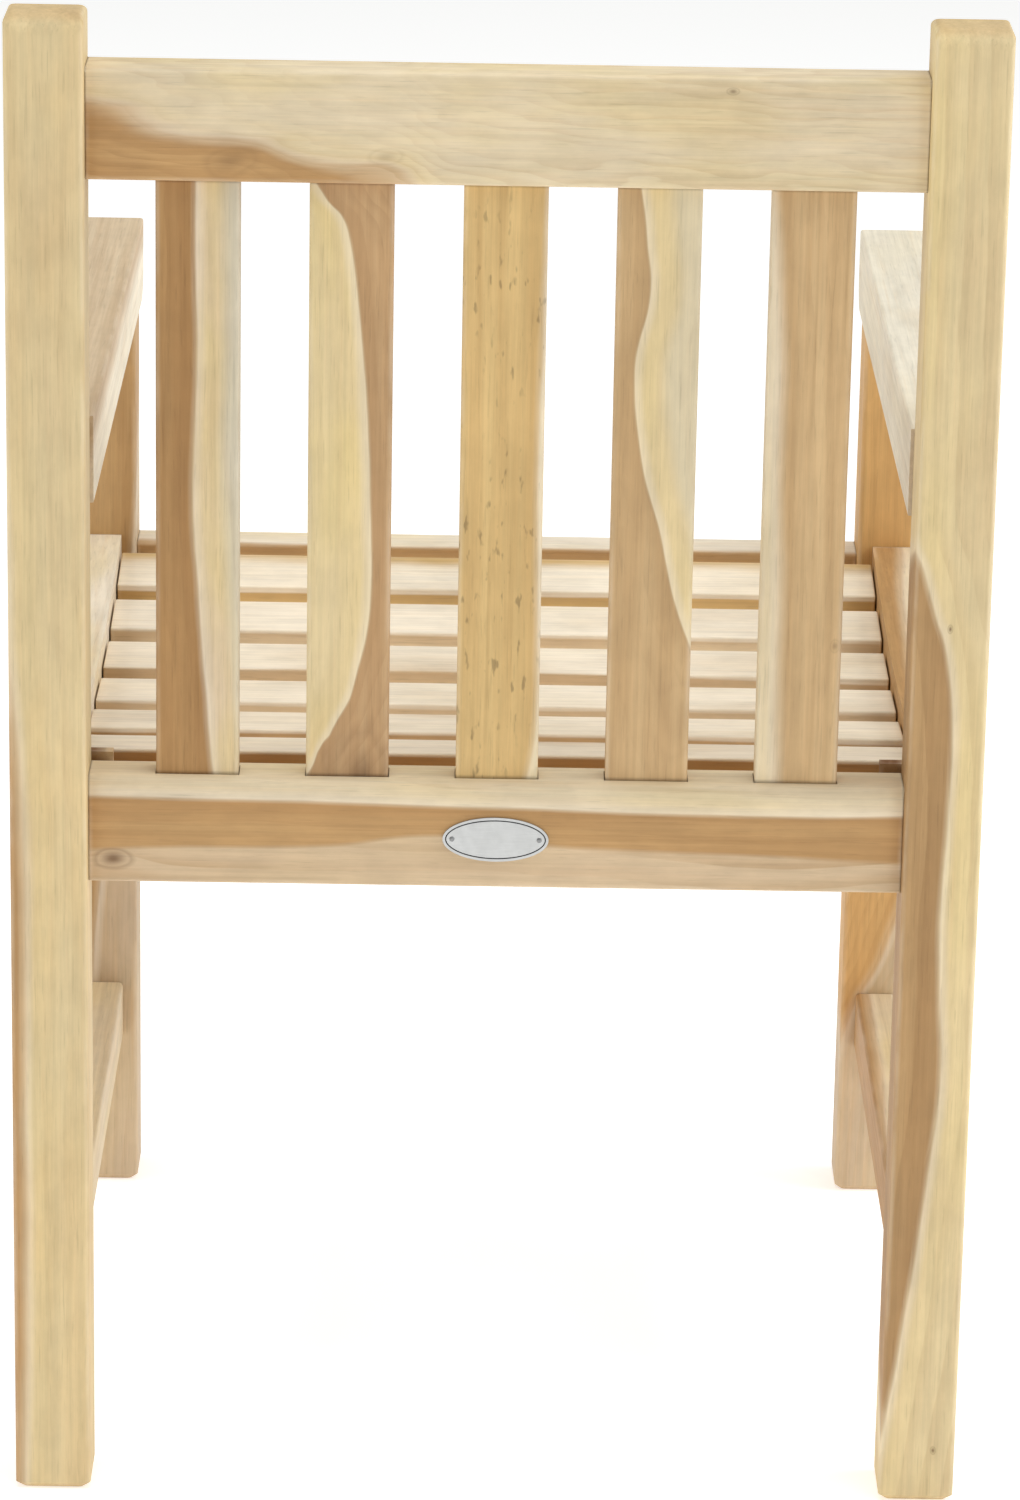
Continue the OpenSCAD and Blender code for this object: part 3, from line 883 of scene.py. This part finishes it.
def board_directions(wiring, axis, centre, lean):
    """The vector (across, through, along) from the board's centre, in metres."""
    rows = ROWS[axis] @ Matrix.Rotation(-lean, 3, "X")
    place = wiring.tree.nodes.new("ShaderNodeTexCoord")
    node = wiring.tree.nodes.new("ShaderNodeMapping")
    wiring.put(node.inputs["Vector"], place.outputs["Object"])
    node.inputs["Rotation"].default_value = rows.to_euler("XYZ")
    node.inputs["Location"].default_value = -(rows @ centre)
    split = wiring.tree.nodes.new("ShaderNodeSeparateXYZ")
    wiring.put(split.inputs[0], node.outputs[0])
    normal = wiring.tree.nodes.new("ShaderNodeSeparateXYZ")
    wiring.put(normal.inputs[0], place.outputs["Normal"])
    return node.outputs[0], split.outputs, normal.outputs["XYZ".index(axis)]


# %% [markdown]
# The grain of a plank is a set of noises, all stretched along it. Slow ones make the rings sway and
# the stains drift, and fine ones make streaks, veins and pores. Each is wired in on its first use.

# %% The wiring of one plank
GRAIN = {  # repeats per metre across, through and along the grain, then detail and roughness
    "sway": ((14, 14, 5), 3, 0.5),
    "flutter": ((60, 60, 12), 2, 0.5),
    "ring_gain": ((30, 30, 4), 1, 0.5),
    "streak": ((420, 420, 9), 5, 0.65),
    "band": ((110, 110, 3), 3, 0.55),
    "vein": ((230, 230, 5), 4, 0.65),
    "pore": ((900, 900, 40), 2, 0.5),
    "mottle": ((75, 75, 38), 4, 0.6),
    "haze": ((24, 24, 7), 3, 0.5),
    "stain": ((16, 16, 6), 3, 0.5),
    "fleck": ((230, 230, 75), 2, 0.5),
    # breaks up the pale edges: wear, and a painted highlight
    "wear_and_glint": ((70, 70, 25), 3, 0.5),
}
SEED_SHIFT = (1.0, 1.7, 2.3)


class Plank(Wiring):
    """The wiring of one board, with its directions, its size and its grain."""

    def __init__(self, material, axis, size, centre, lean, seed):
        super().__init__(material)
        self.width, self.depth, self.length = size
        vector, directions, self.end_normal = board_directions(self, axis, centre, lean)
        self.across, self.through, self.along = directions
        shifted = self.tree.nodes.new("ShaderNodeVectorMath")
        self.put(shifted.inputs[0], vector)
        shifted.inputs[1].default_value = [seed * share for share in SEED_SHIFT]
        self.shifted = shifted.outputs[0]
        self.noises = {}
        self.sway = self.math("SUBTRACT", self.grain("sway"), 0.5)
        self.flutter = self.math("SUBTRACT", self.grain("flutter"), 0.5)

    def grain(self, name):
        if name not in self.noises:
            self.noises[name] = self.noise(self.shifted, *GRAIN[name])
        return self.noises[name]

    def mask(self, name, low, high, out_low=0.0, out_high=1.0):
        """One noise of the grain, stepped smoothly between two levels."""
        return self.ramp(self.grain(name), low, high, out_low, out_high)

    def times(self, first, second):
        return self.math("MULTIPLY", first, second)

    def dim(self, shade, where, amount):
        """Takes the amount off the shade where the mask is 1."""
        return self.times(shade, self.math("MULTIPLY_ADD", where, -amount, 1.0))

    def within(self, place, size):
        """How far inside the plank's box a point lies, along one direction."""
        return self.math("SUBTRACT", size / 2, self.math("ABSOLUTE", place))


# %% [markdown]
# In the log the border is a smooth shell, and on a board it shows as a wandering line. That line
# is drawn with a curve through a few points along the board. A painted mask would do for one face,
# but a distance from the curve gives all four faces the same line, and it drives rings and colour.

# %% Where heartwood meets sapwood
CURVE_MARGIN = 0.4


def before(plank, line):
    """How far, in metres, a point lies before the line that the points draw across the board."""
    span = 1 + 2 * CURVE_MARGIN
    share_along = plank.math("MULTIPLY_ADD", plank.along, 1 / plank.length, 0.5, clamp=True)
    points = [(x, (y + CURVE_MARGIN) / span) for x, y in line]
    place = plank.math("MULTIPLY_ADD", plank.curve(share_along, points), span * plank.width,
                       -(CURVE_MARGIN + 0.5) * plank.width)
    return plank.math("SUBTRACT", place, plank.across)


def border_distance(plank, border, heart_first, slant, wander, fray):
    """The distance from the border of the two woods in metres, positive in the heartwood."""
    distance = before(plank, border)
    if not heart_first:
        distance = plank.times(distance, -1.0)
    distance = plank.math("MULTIPLY_ADD", plank.through, slant, distance)
    distance = plank.math("MULTIPLY_ADD", plank.sway, 2 * wander * MM, distance)
    return plank.math("MULTIPLY_ADD", plank.flutter, wander * fray * MM, distance)


# %% Knots, which pull the rings round them
KNOT_STRETCH = 0.6
KNOT_RAGGED = 2.2


def bend_round_knots(plank, knots, distance):
    """Bends the distance round each knot. Returns it, and a mask of how dark the knots are."""
    darkness = None
    for at_along, at_across, radius, dark in knots:
        step = 1 / (radius * MM)
        middle_across = (at_across - 0.5) * plank.width
        middle_along = (at_along - 0.5) * plank.length
        dx = plank.math("MULTIPLY_ADD", plank.across, step, -middle_across * step)
        dz = plank.math("MULTIPLY_ADD", plank.along, KNOT_STRETCH * step,
                        -middle_along * KNOT_STRETCH * step)
        dx = plank.math("MULTIPLY_ADD", plank.flutter, KNOT_RAGGED, dx)
        dz = plank.math("MULTIPLY_ADD", plank.sway, KNOT_RAGGED, dz)
        squared = plank.math("ADD", plank.times(dx, dx), plank.times(dz, dz))
        off_rim = plank.math("MULTIPLY_ADD", plank.math("SQRT", squared), 3.5, -3.2)
        rim = plank.math("SUBTRACT", 1.0, plank.math("ABSOLUTE", off_rim), clamp=True)
        core = plank.math("EXPONENT", plank.times(squared, -3.0))
        knot = plank.times(plank.math("MAXIMUM", plank.times(rim, 0.4), core), dark)
        pull = plank.math("EXPONENT", plank.times(squared, -0.22))
        distance = plank.math("MULTIPLY_ADD", pull, 1.1 * radius * MM, distance)
        darkness = knot if darkness is None else plank.math("MAXIMUM", darkness, knot)
    return distance, darkness


# %% [markdown]
# Growth rings follow the border at a steady distance, so they are cut from the same number. On a
# real board a ring darkens slowly and ends sharply, and rings fade where the saw runs along them.

# %% Growth rings and thin lines
LINE_CORE = 0.2 * MM


def growth_rings(plank, distance, rings):
    """Rings that darken slowly and end sharply, and that fade in parts of the board."""
    phase = plank.math("MULTIPLY_ADD", distance, 1 / (rings * MM), plank.times(plank.sway, 1.6))
    phase = plank.math("FRACT", phase)
    ring = plank.times(plank.ramp(phase, 0.25, 0.93), plank.ramp(phase, 0.94, 1.0, 1.0, 0.0))
    return plank.times(ring, plank.mask("ring_gain", 0.35, 0.65, 0.25, 1.0))


def line_at(plank, distance, width, strength=1.0):
    """A line where the distance is zero, fading out over width millimetres at each side."""
    away = plank.math("ABSOLUTE", distance)
    return plank.ramp(away, LINE_CORE, width * MM, strength, 0.0)


# %% The colours of the two woods
DEEP = (0.74, 0.68, 0.62)
DARK_LINE = (0.72, 0.66, 0.6)
DARK_KNOT = (0.6, 0.6, 0.6)
HALO = (-8 * MM, -1.5 * MM)
ASHEN = (-24 * MM, -12 * MM)
DEEP_BORDER = 12


def tinted(colour, factors):
    return tuple(channel * factor for channel, factor in zip(colour, factors))


def sapwood(plank, distance, sap, cloud, clouds, ash):
    """Palest beside the border, with yellow clouds and honey stains, and grey at its outer side."""
    colour = plank.mix(plank.times(plank.mask("haze", 0.42, 0.68), clouds), sap, cloud)
    colour = plank.mix(plank.mask("vein", 0.52, 0.75, 0, 0.3), colour, HONEY)
    colour = plank.mix(plank.mask("stain", 0.52, 0.72, 0, 0.28), colour, HONEY)
    colour = plank.mix(plank.ramp(distance, *ASHEN, ash, 0.0), colour, ASH)
    return plank.mix(plank.ramp(distance, *HALO, 0.0, 0.4), colour, PALE)


def heartwood(plank, distance, heart, soft):
    """Darkest beside the border, with darker bands and veins."""
    deep = tinted(heart, DEEP)
    colour = plank.mix(plank.mask("band", 0.36, 0.66, 0, 0.65), heart, deep)
    colour = plank.mix(plank.mask("vein", 0.48, 0.72, 0, 0.5), colour, deep)
    beside = plank.ramp(distance, soft * MM, (soft + DEEP_BORDER) * MM, 0.55, 0.0)
    return plank.mix(beside, colour, deep)


# %% [markdown]
# Light and dark also come from how the board was made and used: fine streaks and pores along it,
# edges rubbed pale, ends that drink more. Some of it is painted light: the pale edges are also a
# painted highlight where light catches the round, and a painted shadow line, with a little dust,
# lies in the joints. Each is a mask over the colour.

# %% Shade along the grain, at the edges and at the joints
# The pale edges are partly wear and partly a painted highlight
EDGE_WEAR_AND_GLINT = (0.6 * MM, 3.5 * MM)
JOINT_SHADOW = (0.2 * MM, 1.5 * MM)
SEAM_SHADOW = (0.4 * MM, 2.5 * MM)
SEAM_SHADOW_DARK = 0.35


def grain_shade(plank, pores, flecks):
    """A factor near 1 that lightens and darkens the wood along its grain."""
    shade = plank.mask("streak", 0.3, 0.7, 0.94, 1.05)
    for name, low, high in (("band", -0.035, 0.035), ("stain", 0.04, -0.05),
                            ("mottle", 0.045, -0.045)):
        shade = plank.math("ADD", shade, plank.mask(name, 0.3, 0.7, low, high))
    shade = plank.dim(shade, pores, 0.10)
    if flecks:
        spots = plank.times(plank.mask("fleck", 0.6, 0.72), plank.mask("stain", 0.4, 0.55))
        shade = plank.dim(shade, spots, flecks)
    return shade


def edge_wear_and_glint(plank):
    """Where hands rub the board pale, and a painted highlight where light catches the round edge:
    close to two sides of its box at once.
    """
    sides = [plank.within(plank.across, plank.width), plank.within(plank.through, plank.depth)]
    nearest = plank.math("MINIMUM", *sides)
    second = plank.math("MINIMUM", plank.math("MAXIMUM", *sides),
                        plank.within(plank.along, plank.length))
    edge = plank.ramp(plank.math("MAXIMUM", nearest, second), *EDGE_WEAR_AND_GLINT, 1.0, 0.0)
    return plank.times(edge, plank.mask("wear_and_glint", 0.35, 0.65, 0.2, 1.0))


def paint_joint_shadows(plank, shade, joint_line, seams):
    """Darkens the shade at the board's ends and at each seam with a painted shadow line, and with
    the dust that lies in the joint.
    """
    end_shadow = plank.ramp(plank.within(plank.along, plank.length), *JOINT_SHADOW, 1.0, 0.0)
    shade = plank.dim(shade, end_shadow, joint_line)
    for seam in seams:
        away = plank.math("ABSOLUTE", plank.math("SUBTRACT", plank.along, seam))
        shade = plank.dim(shade, plank.ramp(away, *SEAM_SHADOW, 1.0, 0.0), SEAM_SHADOW_DARK)
    return shade


# %% Sheen and relief
def give_relief(plank, pores, ring, end, worn_and_glint):
    """Streaks change the sheen, ends are rougher, and pores and rings are sunk a little."""
    rough = plank.mask("streak", 0.3, 0.7, 0.66, 0.54)
    rough = plank.math("ADD", rough, plank.times(end, 0.15))
    rough = plank.math("ADD", rough, plank.times(worn_and_glint, -0.06))
    plank.put(plank.shader.inputs["Roughness"], rough)
    plank.shader.inputs["Specular IOR Level"].default_value = 0.3
    height = plank.math("MULTIPLY_ADD", pores, -0.5, plank.times(plank.grain("streak"), 0.8))
    height = plank.math("MULTIPLY_ADD", ring, -0.35, height)
    plank.bump(height, 0.35, 0.3 * MM)


# %% The teak recipe
def teak(name, axis, size, centre, sap, heart, border, heart_first=True, pale_border=None,
         soft=3.0, lean=0.0, rings=7.0, lines=0.5, rim=0.5, wander=6.0, fray=0.4, knots=(),
         clouds=0.5, cloud=STRAW, ash=0.1, flecks=0.0, slant=0.15, seed=0.0, joint_line=0.0,
         seams=()):
    """One board of teak. border is where heartwood and sapwood meet, as (along, across) points,
    and heart_first says that the heartwood lies before it. Heartwood past pale_border is paler.
    soft, rings and wander are in millimetres. A knot is (along, across, radius in millimetres,
    darkness). seams are places along the board, in metres from its middle, where it enters
    another piece."""
    material = bpy.data.materials.new(name)
    plank = Plank(material, axis, size, centre, lean, seed)
    distance = border_distance(plank, border, heart_first, slant, wander, fray)
    distance, knot_dark = bend_round_knots(plank, knots, distance)
    ring = growth_rings(plank, distance, rings)
    border_line = line_at(plank, distance, 1.0 + 0.4 * soft)
    light_wood = sapwood(plank, distance, sap, cloud, clouds, ash)
    dark_wood = heartwood(plank, distance, heart, soft)
    if pale_border:
        beyond = plank.math("MULTIPLY_ADD", plank.sway, 2 * wander * MM, before(plank, pale_border))
        paler = plank.ramp(beyond, -1.5 * MM, 2.0 * MM, 0.5, 0.0)
        dark_wood = plank.mix(paler, dark_wood, light_wood)
        border_line = plank.math("MAXIMUM", border_line, line_at(plank, beyond, 1.6, 0.8))

    heartness = plank.ramp(distance, -soft * MM, soft * MM)
    ring_share = plank.times(ring, plank.ramp(heartness, 0, 1, 0.22 * lines, 0.75 * lines))
    line_colour = tinted(heart, DARK_LINE)
    colour = plank.mix(heartness, light_wood, dark_wood)
    colour = plank.mix(ring_share, colour, line_colour)
    colour = plank.mix(plank.times(border_line, 0.6 * rim), colour, line_colour)
    if knots:
        colour = plank.mix(knot_dark, colour, tinted(UMBER, DARK_KNOT))

    # Ends drink more, so they are darker and browner; handled edges are paler, from wear and from a
    # painted highlight where light catches them
    end = plank.ramp(plank.math("ABSOLUTE", plank.end_normal), 0.5, 0.95)
    worn_and_glint = edge_wear_and_glint(plank)
    pores = plank.mask("pore", 0.6, 0.72)
    colour = plank.mix(plank.times(end, 0.35), colour, TAN)
    colour = plank.mix(plank.times(worn_and_glint, 0.22), colour, PALE)
    shade = plank.dim(grain_shade(plank, pores, flecks), end, 0.10)
    # A painted shadow line, with a little dust, darkens the ends and the seams
    shade = paint_joint_shadows(plank, shade, joint_line, seams)
    grey = plank.tree.nodes.new("ShaderNodeCombineColor")
    for socket in grey.inputs[:3]:
        plank.put(socket, shade)
    colour = plank.mix(1.0, colour, grey.outputs[0], "MULTIPLY")
    plank.put(plank.shader.inputs["Base Color"], colour)
    give_relief(plank, pores, ring, end, worn_and_glint)
    return material


# %% Dress a piece in its board
def dress(piece, axis, lean=0.0, centre=None, size=None, **look):
    """Gives the piece its own board of teak, fitted to its box."""
    corners = [v.co for v in piece.data.vertices]
    low = Vector(min(c[i] for c in corners) for i in range(3))
    high = Vector(max(c[i] for c in corners) for i in range(3))
    centre = (low + high) / 2 if centre is None else centre
    if size is None:
        extent = high - low
        size = {"Z": (extent.x, extent.y, extent.z), "X": (extent.z, extent.y, extent.x),
                "Y": (extent.x, extent.z, extent.y)}[axis]
    material = teak("teak_" + piece.name, axis, size, centre, lean=lean, **look)
    piece.data.materials.clear()
    piece.data.materials.append(material)


# %% [markdown]
# ### The boards of the back
#
# The left post is straw-coloured sapwood with a trace of brown along its outer edge. The right one
# has a broad brown stripe on its inner side below the seat. Each back slat was sawn from another
# plank, and no two of them look alike.

# %% Choose the boards of the posts
dress(rear_left, "Z", sap=STRAW_PALE, heart=TAN, soft=5, rings=13, lines=0.4, rim=0.2, clouds=0.4,
      cloud=GOLD, seed=1.0, border=[(0, -0.3), (0.4, -0.1), (0.5, 0.04), (0.75, 0.08), (1, 0.0)])
dress(rear_right, "Z", sap=SAND, heart=FAWN, soft=2.5, rings=15, lines=0.7, clouds=0.5, seed=2.0,
      wander=2.5,
      border=[(0, -0.3), (0.3, -0.25), (0.35, 0.02), (0.38, 0.2), (0.415, 0.4), (0.46, 0.48),
              (0.52, 0.44), (0.58, 0.39), (0.64, 0.44), (0.69, 0.5), (0.75, 0.42), (0.81, 0.3),
              (0.87, 0.14), (0.92, 0.0), (1, -0.25)],
      knots=[(0.387, 0.48, 1.6, 0.8), (0.962, 0.7, 1.6, 0.8)])

# %% Choose the boards of the back slats
# Each back slat gets a painted shadow line where it enters the top rail and the rear seat rail
slat_mid_z = (slat_low.z + slat_high.z) / 2
SEAMS = [slat_mid_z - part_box("top_rail")[0].z, slat_mid_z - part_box("rear_seat_rail")[1].z]
SLAT_LOOKS = [
    dict(sap=BISCUIT, heart=BROWN, ash=0.8, soft=2.5, rings=9, rim=0.7, clouds=0.7,
         border=[(0, 0.44), (0.3, 0.43), (0.55, 0.38), (0.75, 0.47), (0.9, 0.56), (1, 0.66)]),
    dict(sap=SAND, heart=WALNUT_PALE, heart_first=False, soft=1.0, rings=8, rim=1.0, clouds=0.9,
         wander=3, fray=1.4,
         border=[(0, -0.05), (0.06, 0.22), (0.11, 0.5), (0.25, 0.66), (0.5, 0.78), (0.68, 0.85),
                 (0.8, 0.8), (0.88, 0.64), (0.93, 0.42), (1, 0.0)],
         knots=[(0.955, 0.62, 16.0, 0.6)]),
    dict(sap=CREAM, heart=GOLD, soft=3, rings=12, lines=0.25, clouds=0.6, flecks=0.4,
         border=[(0, 0.98), (0.3, 0.93), (0.7, 0.92), (0.9, 0.9), (1, 0.75)]),
    dict(sap=SAND, heart=OAT, ash=0.5, soft=0.9, rings=15, lines=0.25, rim=1.2, clouds=0.4,
         wander=3, fray=1.0,
         border=[(0, 0.18), (0.12, 0.3), (0.19, 0.36), (0.32, 0.2), (0.45, 0.3), (0.58, 0.56),
                 (0.72, 0.78), (0.86, 1.0), (1, 1.35)],
         knots=[(0.86, 0.8, 14.0, 0.2), (1.0, 0.1, 8.0, 0.5)]),
    dict(sap=CREAM, heart=HONEY, heart_first=False, soft=6, rings=10, lines=0.3, rim=0.1,
         clouds=0.2, border=[(0, 0.05), (0.3, 0.2), (0.6, 0.22), (1, 0.3)],
         knots=[(0.74, 0.92, 2.5, 0.4)]),
]
for number, (slat, look) in enumerate(zip(back_slats, SLAT_LOOKS), 1):
    dress(slat, "Z", seed=2.0 + number, seams=SEAMS, **look)

# %% Choose the boards of the rails
# A painted shadow line darkens each rail's ends where it meets a leg
dress(top_rail, "X", sap=CREAM, heart=TAN, heart_first=False, soft=11, rings=8, lines=0.8, rim=0.0,
      clouds=0.5, seed=8.0, wander=20, fray=1.2, joint_line=0.4,
      border=[(0, 0.3), (0.06, 0.38), (0.14, 0.5), (0.25, 0.7), (0.36, 0.86), (0.45, 1.2),
              (1, 1.6)],
      knots=[(0.17, 0.8, 9.0, 0.35), (0.35, 0.74, 6.0, 0.3), (0.765, 0.12, 2.2, 0.6)])
dress(seat_rail_rear, "X", sap=CREAM, heart=TAN, heart_first=False, soft=1.8, rings=14, lines=0.6,
      rim=0.4, clouds=0.3, seed=9.0, wander=2.5, slant=0.25, joint_line=0.4,
      border=[(0, 0.14), (0.3, 0.16), (0.6, 0.21), (0.85, 0.23), (1, 0.21)],
      pale_border=[(0, 0.7), (0.1, 0.66), (0.3, 0.62), (0.42, 0.52), (0.6, 0.6), (0.85, 0.68),
                   (1, 0.72)],
      knots=[(0.03, 0.8, 7.0, 0.85)])
# The brown back face just under the top edge is partly heartwood and partly painted shade, for that
# face lies in shade
dress(front_rail, "X", sap=PALE, heart=HAZEL, heart_first=False, soft=1.0, seed=10.0, wander=2,
      slant=-0.15, joint_line=0.3, border=[(0, 0.03), (0.5, 0.05), (1, 0.04)])
print("boards so far:", len(bpy.data.materials))

# %% Choose the boards of the sides
dress(front_left, "Z", sap=PUTTY, heart=HAZEL, soft=3, seed=11.0, lines=0.6, clouds=0.2,
      border=[(0, 1.2), (0.35, 0.75), (0.7, 0.3), (1, 0.1)])
dress(front_right, "Z", sap=PUTTY, heart=GOLD_DEEP, soft=6, seed=12.0, lines=0.5, clouds=0.2,
      border=[(0, 1.2), (0.5, 1.1), (0.7, 0.6), (0.85, -0.2), (1, -0.3)])
dress(arms[0], "Y", sap=IVORY, heart=BISCUIT, soft=4, rim=0.1, seed=13.0, lines=0.3, clouds=0.1,
      wander=3, slant=-0.35, border=[(0, 0.94), (0.5, 0.91), (1, 0.94)])
dress(arms[1], "Y", sap=IVORY, heart=IVORY, heart_first=False, soft=6, rim=0.1, seed=14.0,
      lines=0.3, clouds=0.15, border=[(0, 1.1), (0.5, 0.9), (1, 1.1)])
# A painted shadow line darkens the ends of the side rails and stretchers where they meet the legs
dress(side_rails[0], "Y", sap=PALE, heart=HONEY, soft=6, rim=0.2, seed=15.0, joint_line=0.3,
      border=[(0, -0.3), (0.5, 0.1), (1, -0.3)])
dress(side_rails[1], "Y", sap=CREAM, heart=TAN, soft=6, rim=0.2, seed=16.0, joint_line=0.3,
      border=[(0, 0.9), (0.5, 0.5), (1, 0.9)])
dress(stretchers[0], "Y", sap=CREAM, heart=TAN, soft=6, seed=17.0, joint_line=0.3,
      border=[(0, 0.2), (0.5, 0.1), (1, 0.1)])
dress(stretchers[1], "Y", sap=CREAM, heart=TAN, soft=6, seed=18.0, joint_line=0.3,
      border=[(0, 0.5), (0.5, 0.3), (1, 0.4)])

# %% [markdown]
# ### The boards of the seat
#
# The seat slats have the palest faces of the chair, but heartwood lies just under most of them, so
# their back edges show brown below the face. That brown is partly painted shade, for the back edges
# lie in shade, and it is browner on the last slats by the rear rail. The cleats below keep their
# CAD shape, with all its screw holes, and only get their own boards; their tan and umber are
# painted shade, for their tops show in shadow behind the last slat.

# %% Choose the boards of the seat
# The heartwood colours also paint the shade on the slats' back edges, darker towards the rear rail
SEAT_LOOKS = [
    dict(heart=GOLD, border=[(0, 0.08), (0.5, 0.1), (1, 0.05)], slant=0.1),
    dict(heart=BISQUE_PALE, border=[(0, 0.12), (0.5, 0.08), (1, 0.15)], slant=0.03),
    dict(heart=BISQUE, border=[(0, 0.1), (0.5, 0.06), (1, 0.3)], slant=-0.03),
    dict(heart=BISQUE_PALE, border=[(0, 0.08), (0.5, 0.12), (1, 0.1)], slant=0.03),
    dict(heart=HONEY, border=[(0, 0.1), (0.5, 0.08), (1, 0.2)], slant=0.02),
    dict(heart=TAN, border=[(0, 0.1), (0.5, 0.08), (1, 0.1)], slant=0.02),
]
for number, (slat, look) in enumerate(zip(seat_slats, SEAT_LOOKS), 1):
    angle = slat_angle(number)
    arm = Matrix.Rotation(angle, 3, "X") @ Vector((0, 0, -hollow_radius - SEAT_SLAT_T / 2))
    dress(slat, "X", sap=PALE, heart_first=False, soft=0.8, lines=0.3, rim=0.2, clouds=0.15,
          wander=2, seed=20.0 + number, lean=angle, centre=hollow_centre + arm,
          size=(SEAT_SLAT_T, SEAT_SLAT_W, 2 * half_length), **look)
# Tan and umber are painted shade: the cleats' tops lie in shadow under the seat
for name, seed in (("seat_cleat_left", 31.0), ("seat_cleat_right", 32.0)):
    dress(nodes[name], "Y", sap=TAN, heart=UMBER, soft=6, seed=seed,
          border=[(0, 0.9), (0.5, 0.7), (1, 0.9)])

# %% [markdown]
# ## Metal
#
# The badge is brushed along its length, so its fine scratches stretch the light sideways. Its
# groove is full of dirt, and its pins have darkened. The screws are plain galvanised steel, duller
# and a little mottled. All are Principled shaders at full metal.

# %% Make the metals
FINE = (900, 900, 900)


def metal(name, tint, stretch, rough_low, rough_high, relief):
    """Scratched metal: stretch is in scratches per metre, and relief is their depth."""
    material = bpy.data.materials.new(name)
    wire = Wiring(material)
    place = wire.tree.nodes.new("ShaderNodeTexCoord")
    scratch = wire.noise(place.outputs["Object"], stretch, 3, 0.6)
    mottle = wire.noise(place.outputs["Object"], (140, 140, 140), 2)
    shade = wire.ramp(wire.math("ADD", scratch, wire.math("MULTIPLY", mottle, 0.6)), 0.5, 1.1)
    dull = tinted(tint, (0.82, 0.82, 0.82))
    wire.put(wire.shader.inputs["Base Color"], wire.mix(shade, dull, tint))
    wire.put(wire.shader.inputs["Roughness"], wire.ramp(scratch, 0.3, 0.7, rough_low, rough_high))
    wire.shader.inputs["Metallic"].default_value = 1.0
    wire.bump(scratch, 0.25, relief)
    return material


plate_metal = metal("brushed_badge_steel", (0.60, 0.60, 0.59), (60, 3000, 3000), 0.32, 0.5,
                    0.03 * MM)
groove_dirt = metal("darkened_groove_steel", (0.05, 0.05, 0.05), FINE, 0.5, 0.7, 0.02 * MM)
pin_metal = metal("pin_steel", (0.30, 0.30, 0.30), (1500, 1500, 1500), 0.35, 0.5, 0.02 * MM)
screw_metal = metal("galvanised_screw_steel", (0.60, 0.61, 0.62), FINE, 0.35, 0.6, 0.03 * MM)

# %% Put the metals on
for piece, finish in ((plate, plate_metal), (pin_set, pin_metal), (slat_screws, screw_metal),
                      (cleat_screws, screw_metal)):
    piece.data.materials.clear()
    piece.data.materials.append(finish)
plate.data.materials.append(groove_dirt)
for face in plate.data.polygons:
    if face.normal.y > 0.5 and near(face.center.y, plate_high.y - GROOVE_D):
        face.material_index = 1
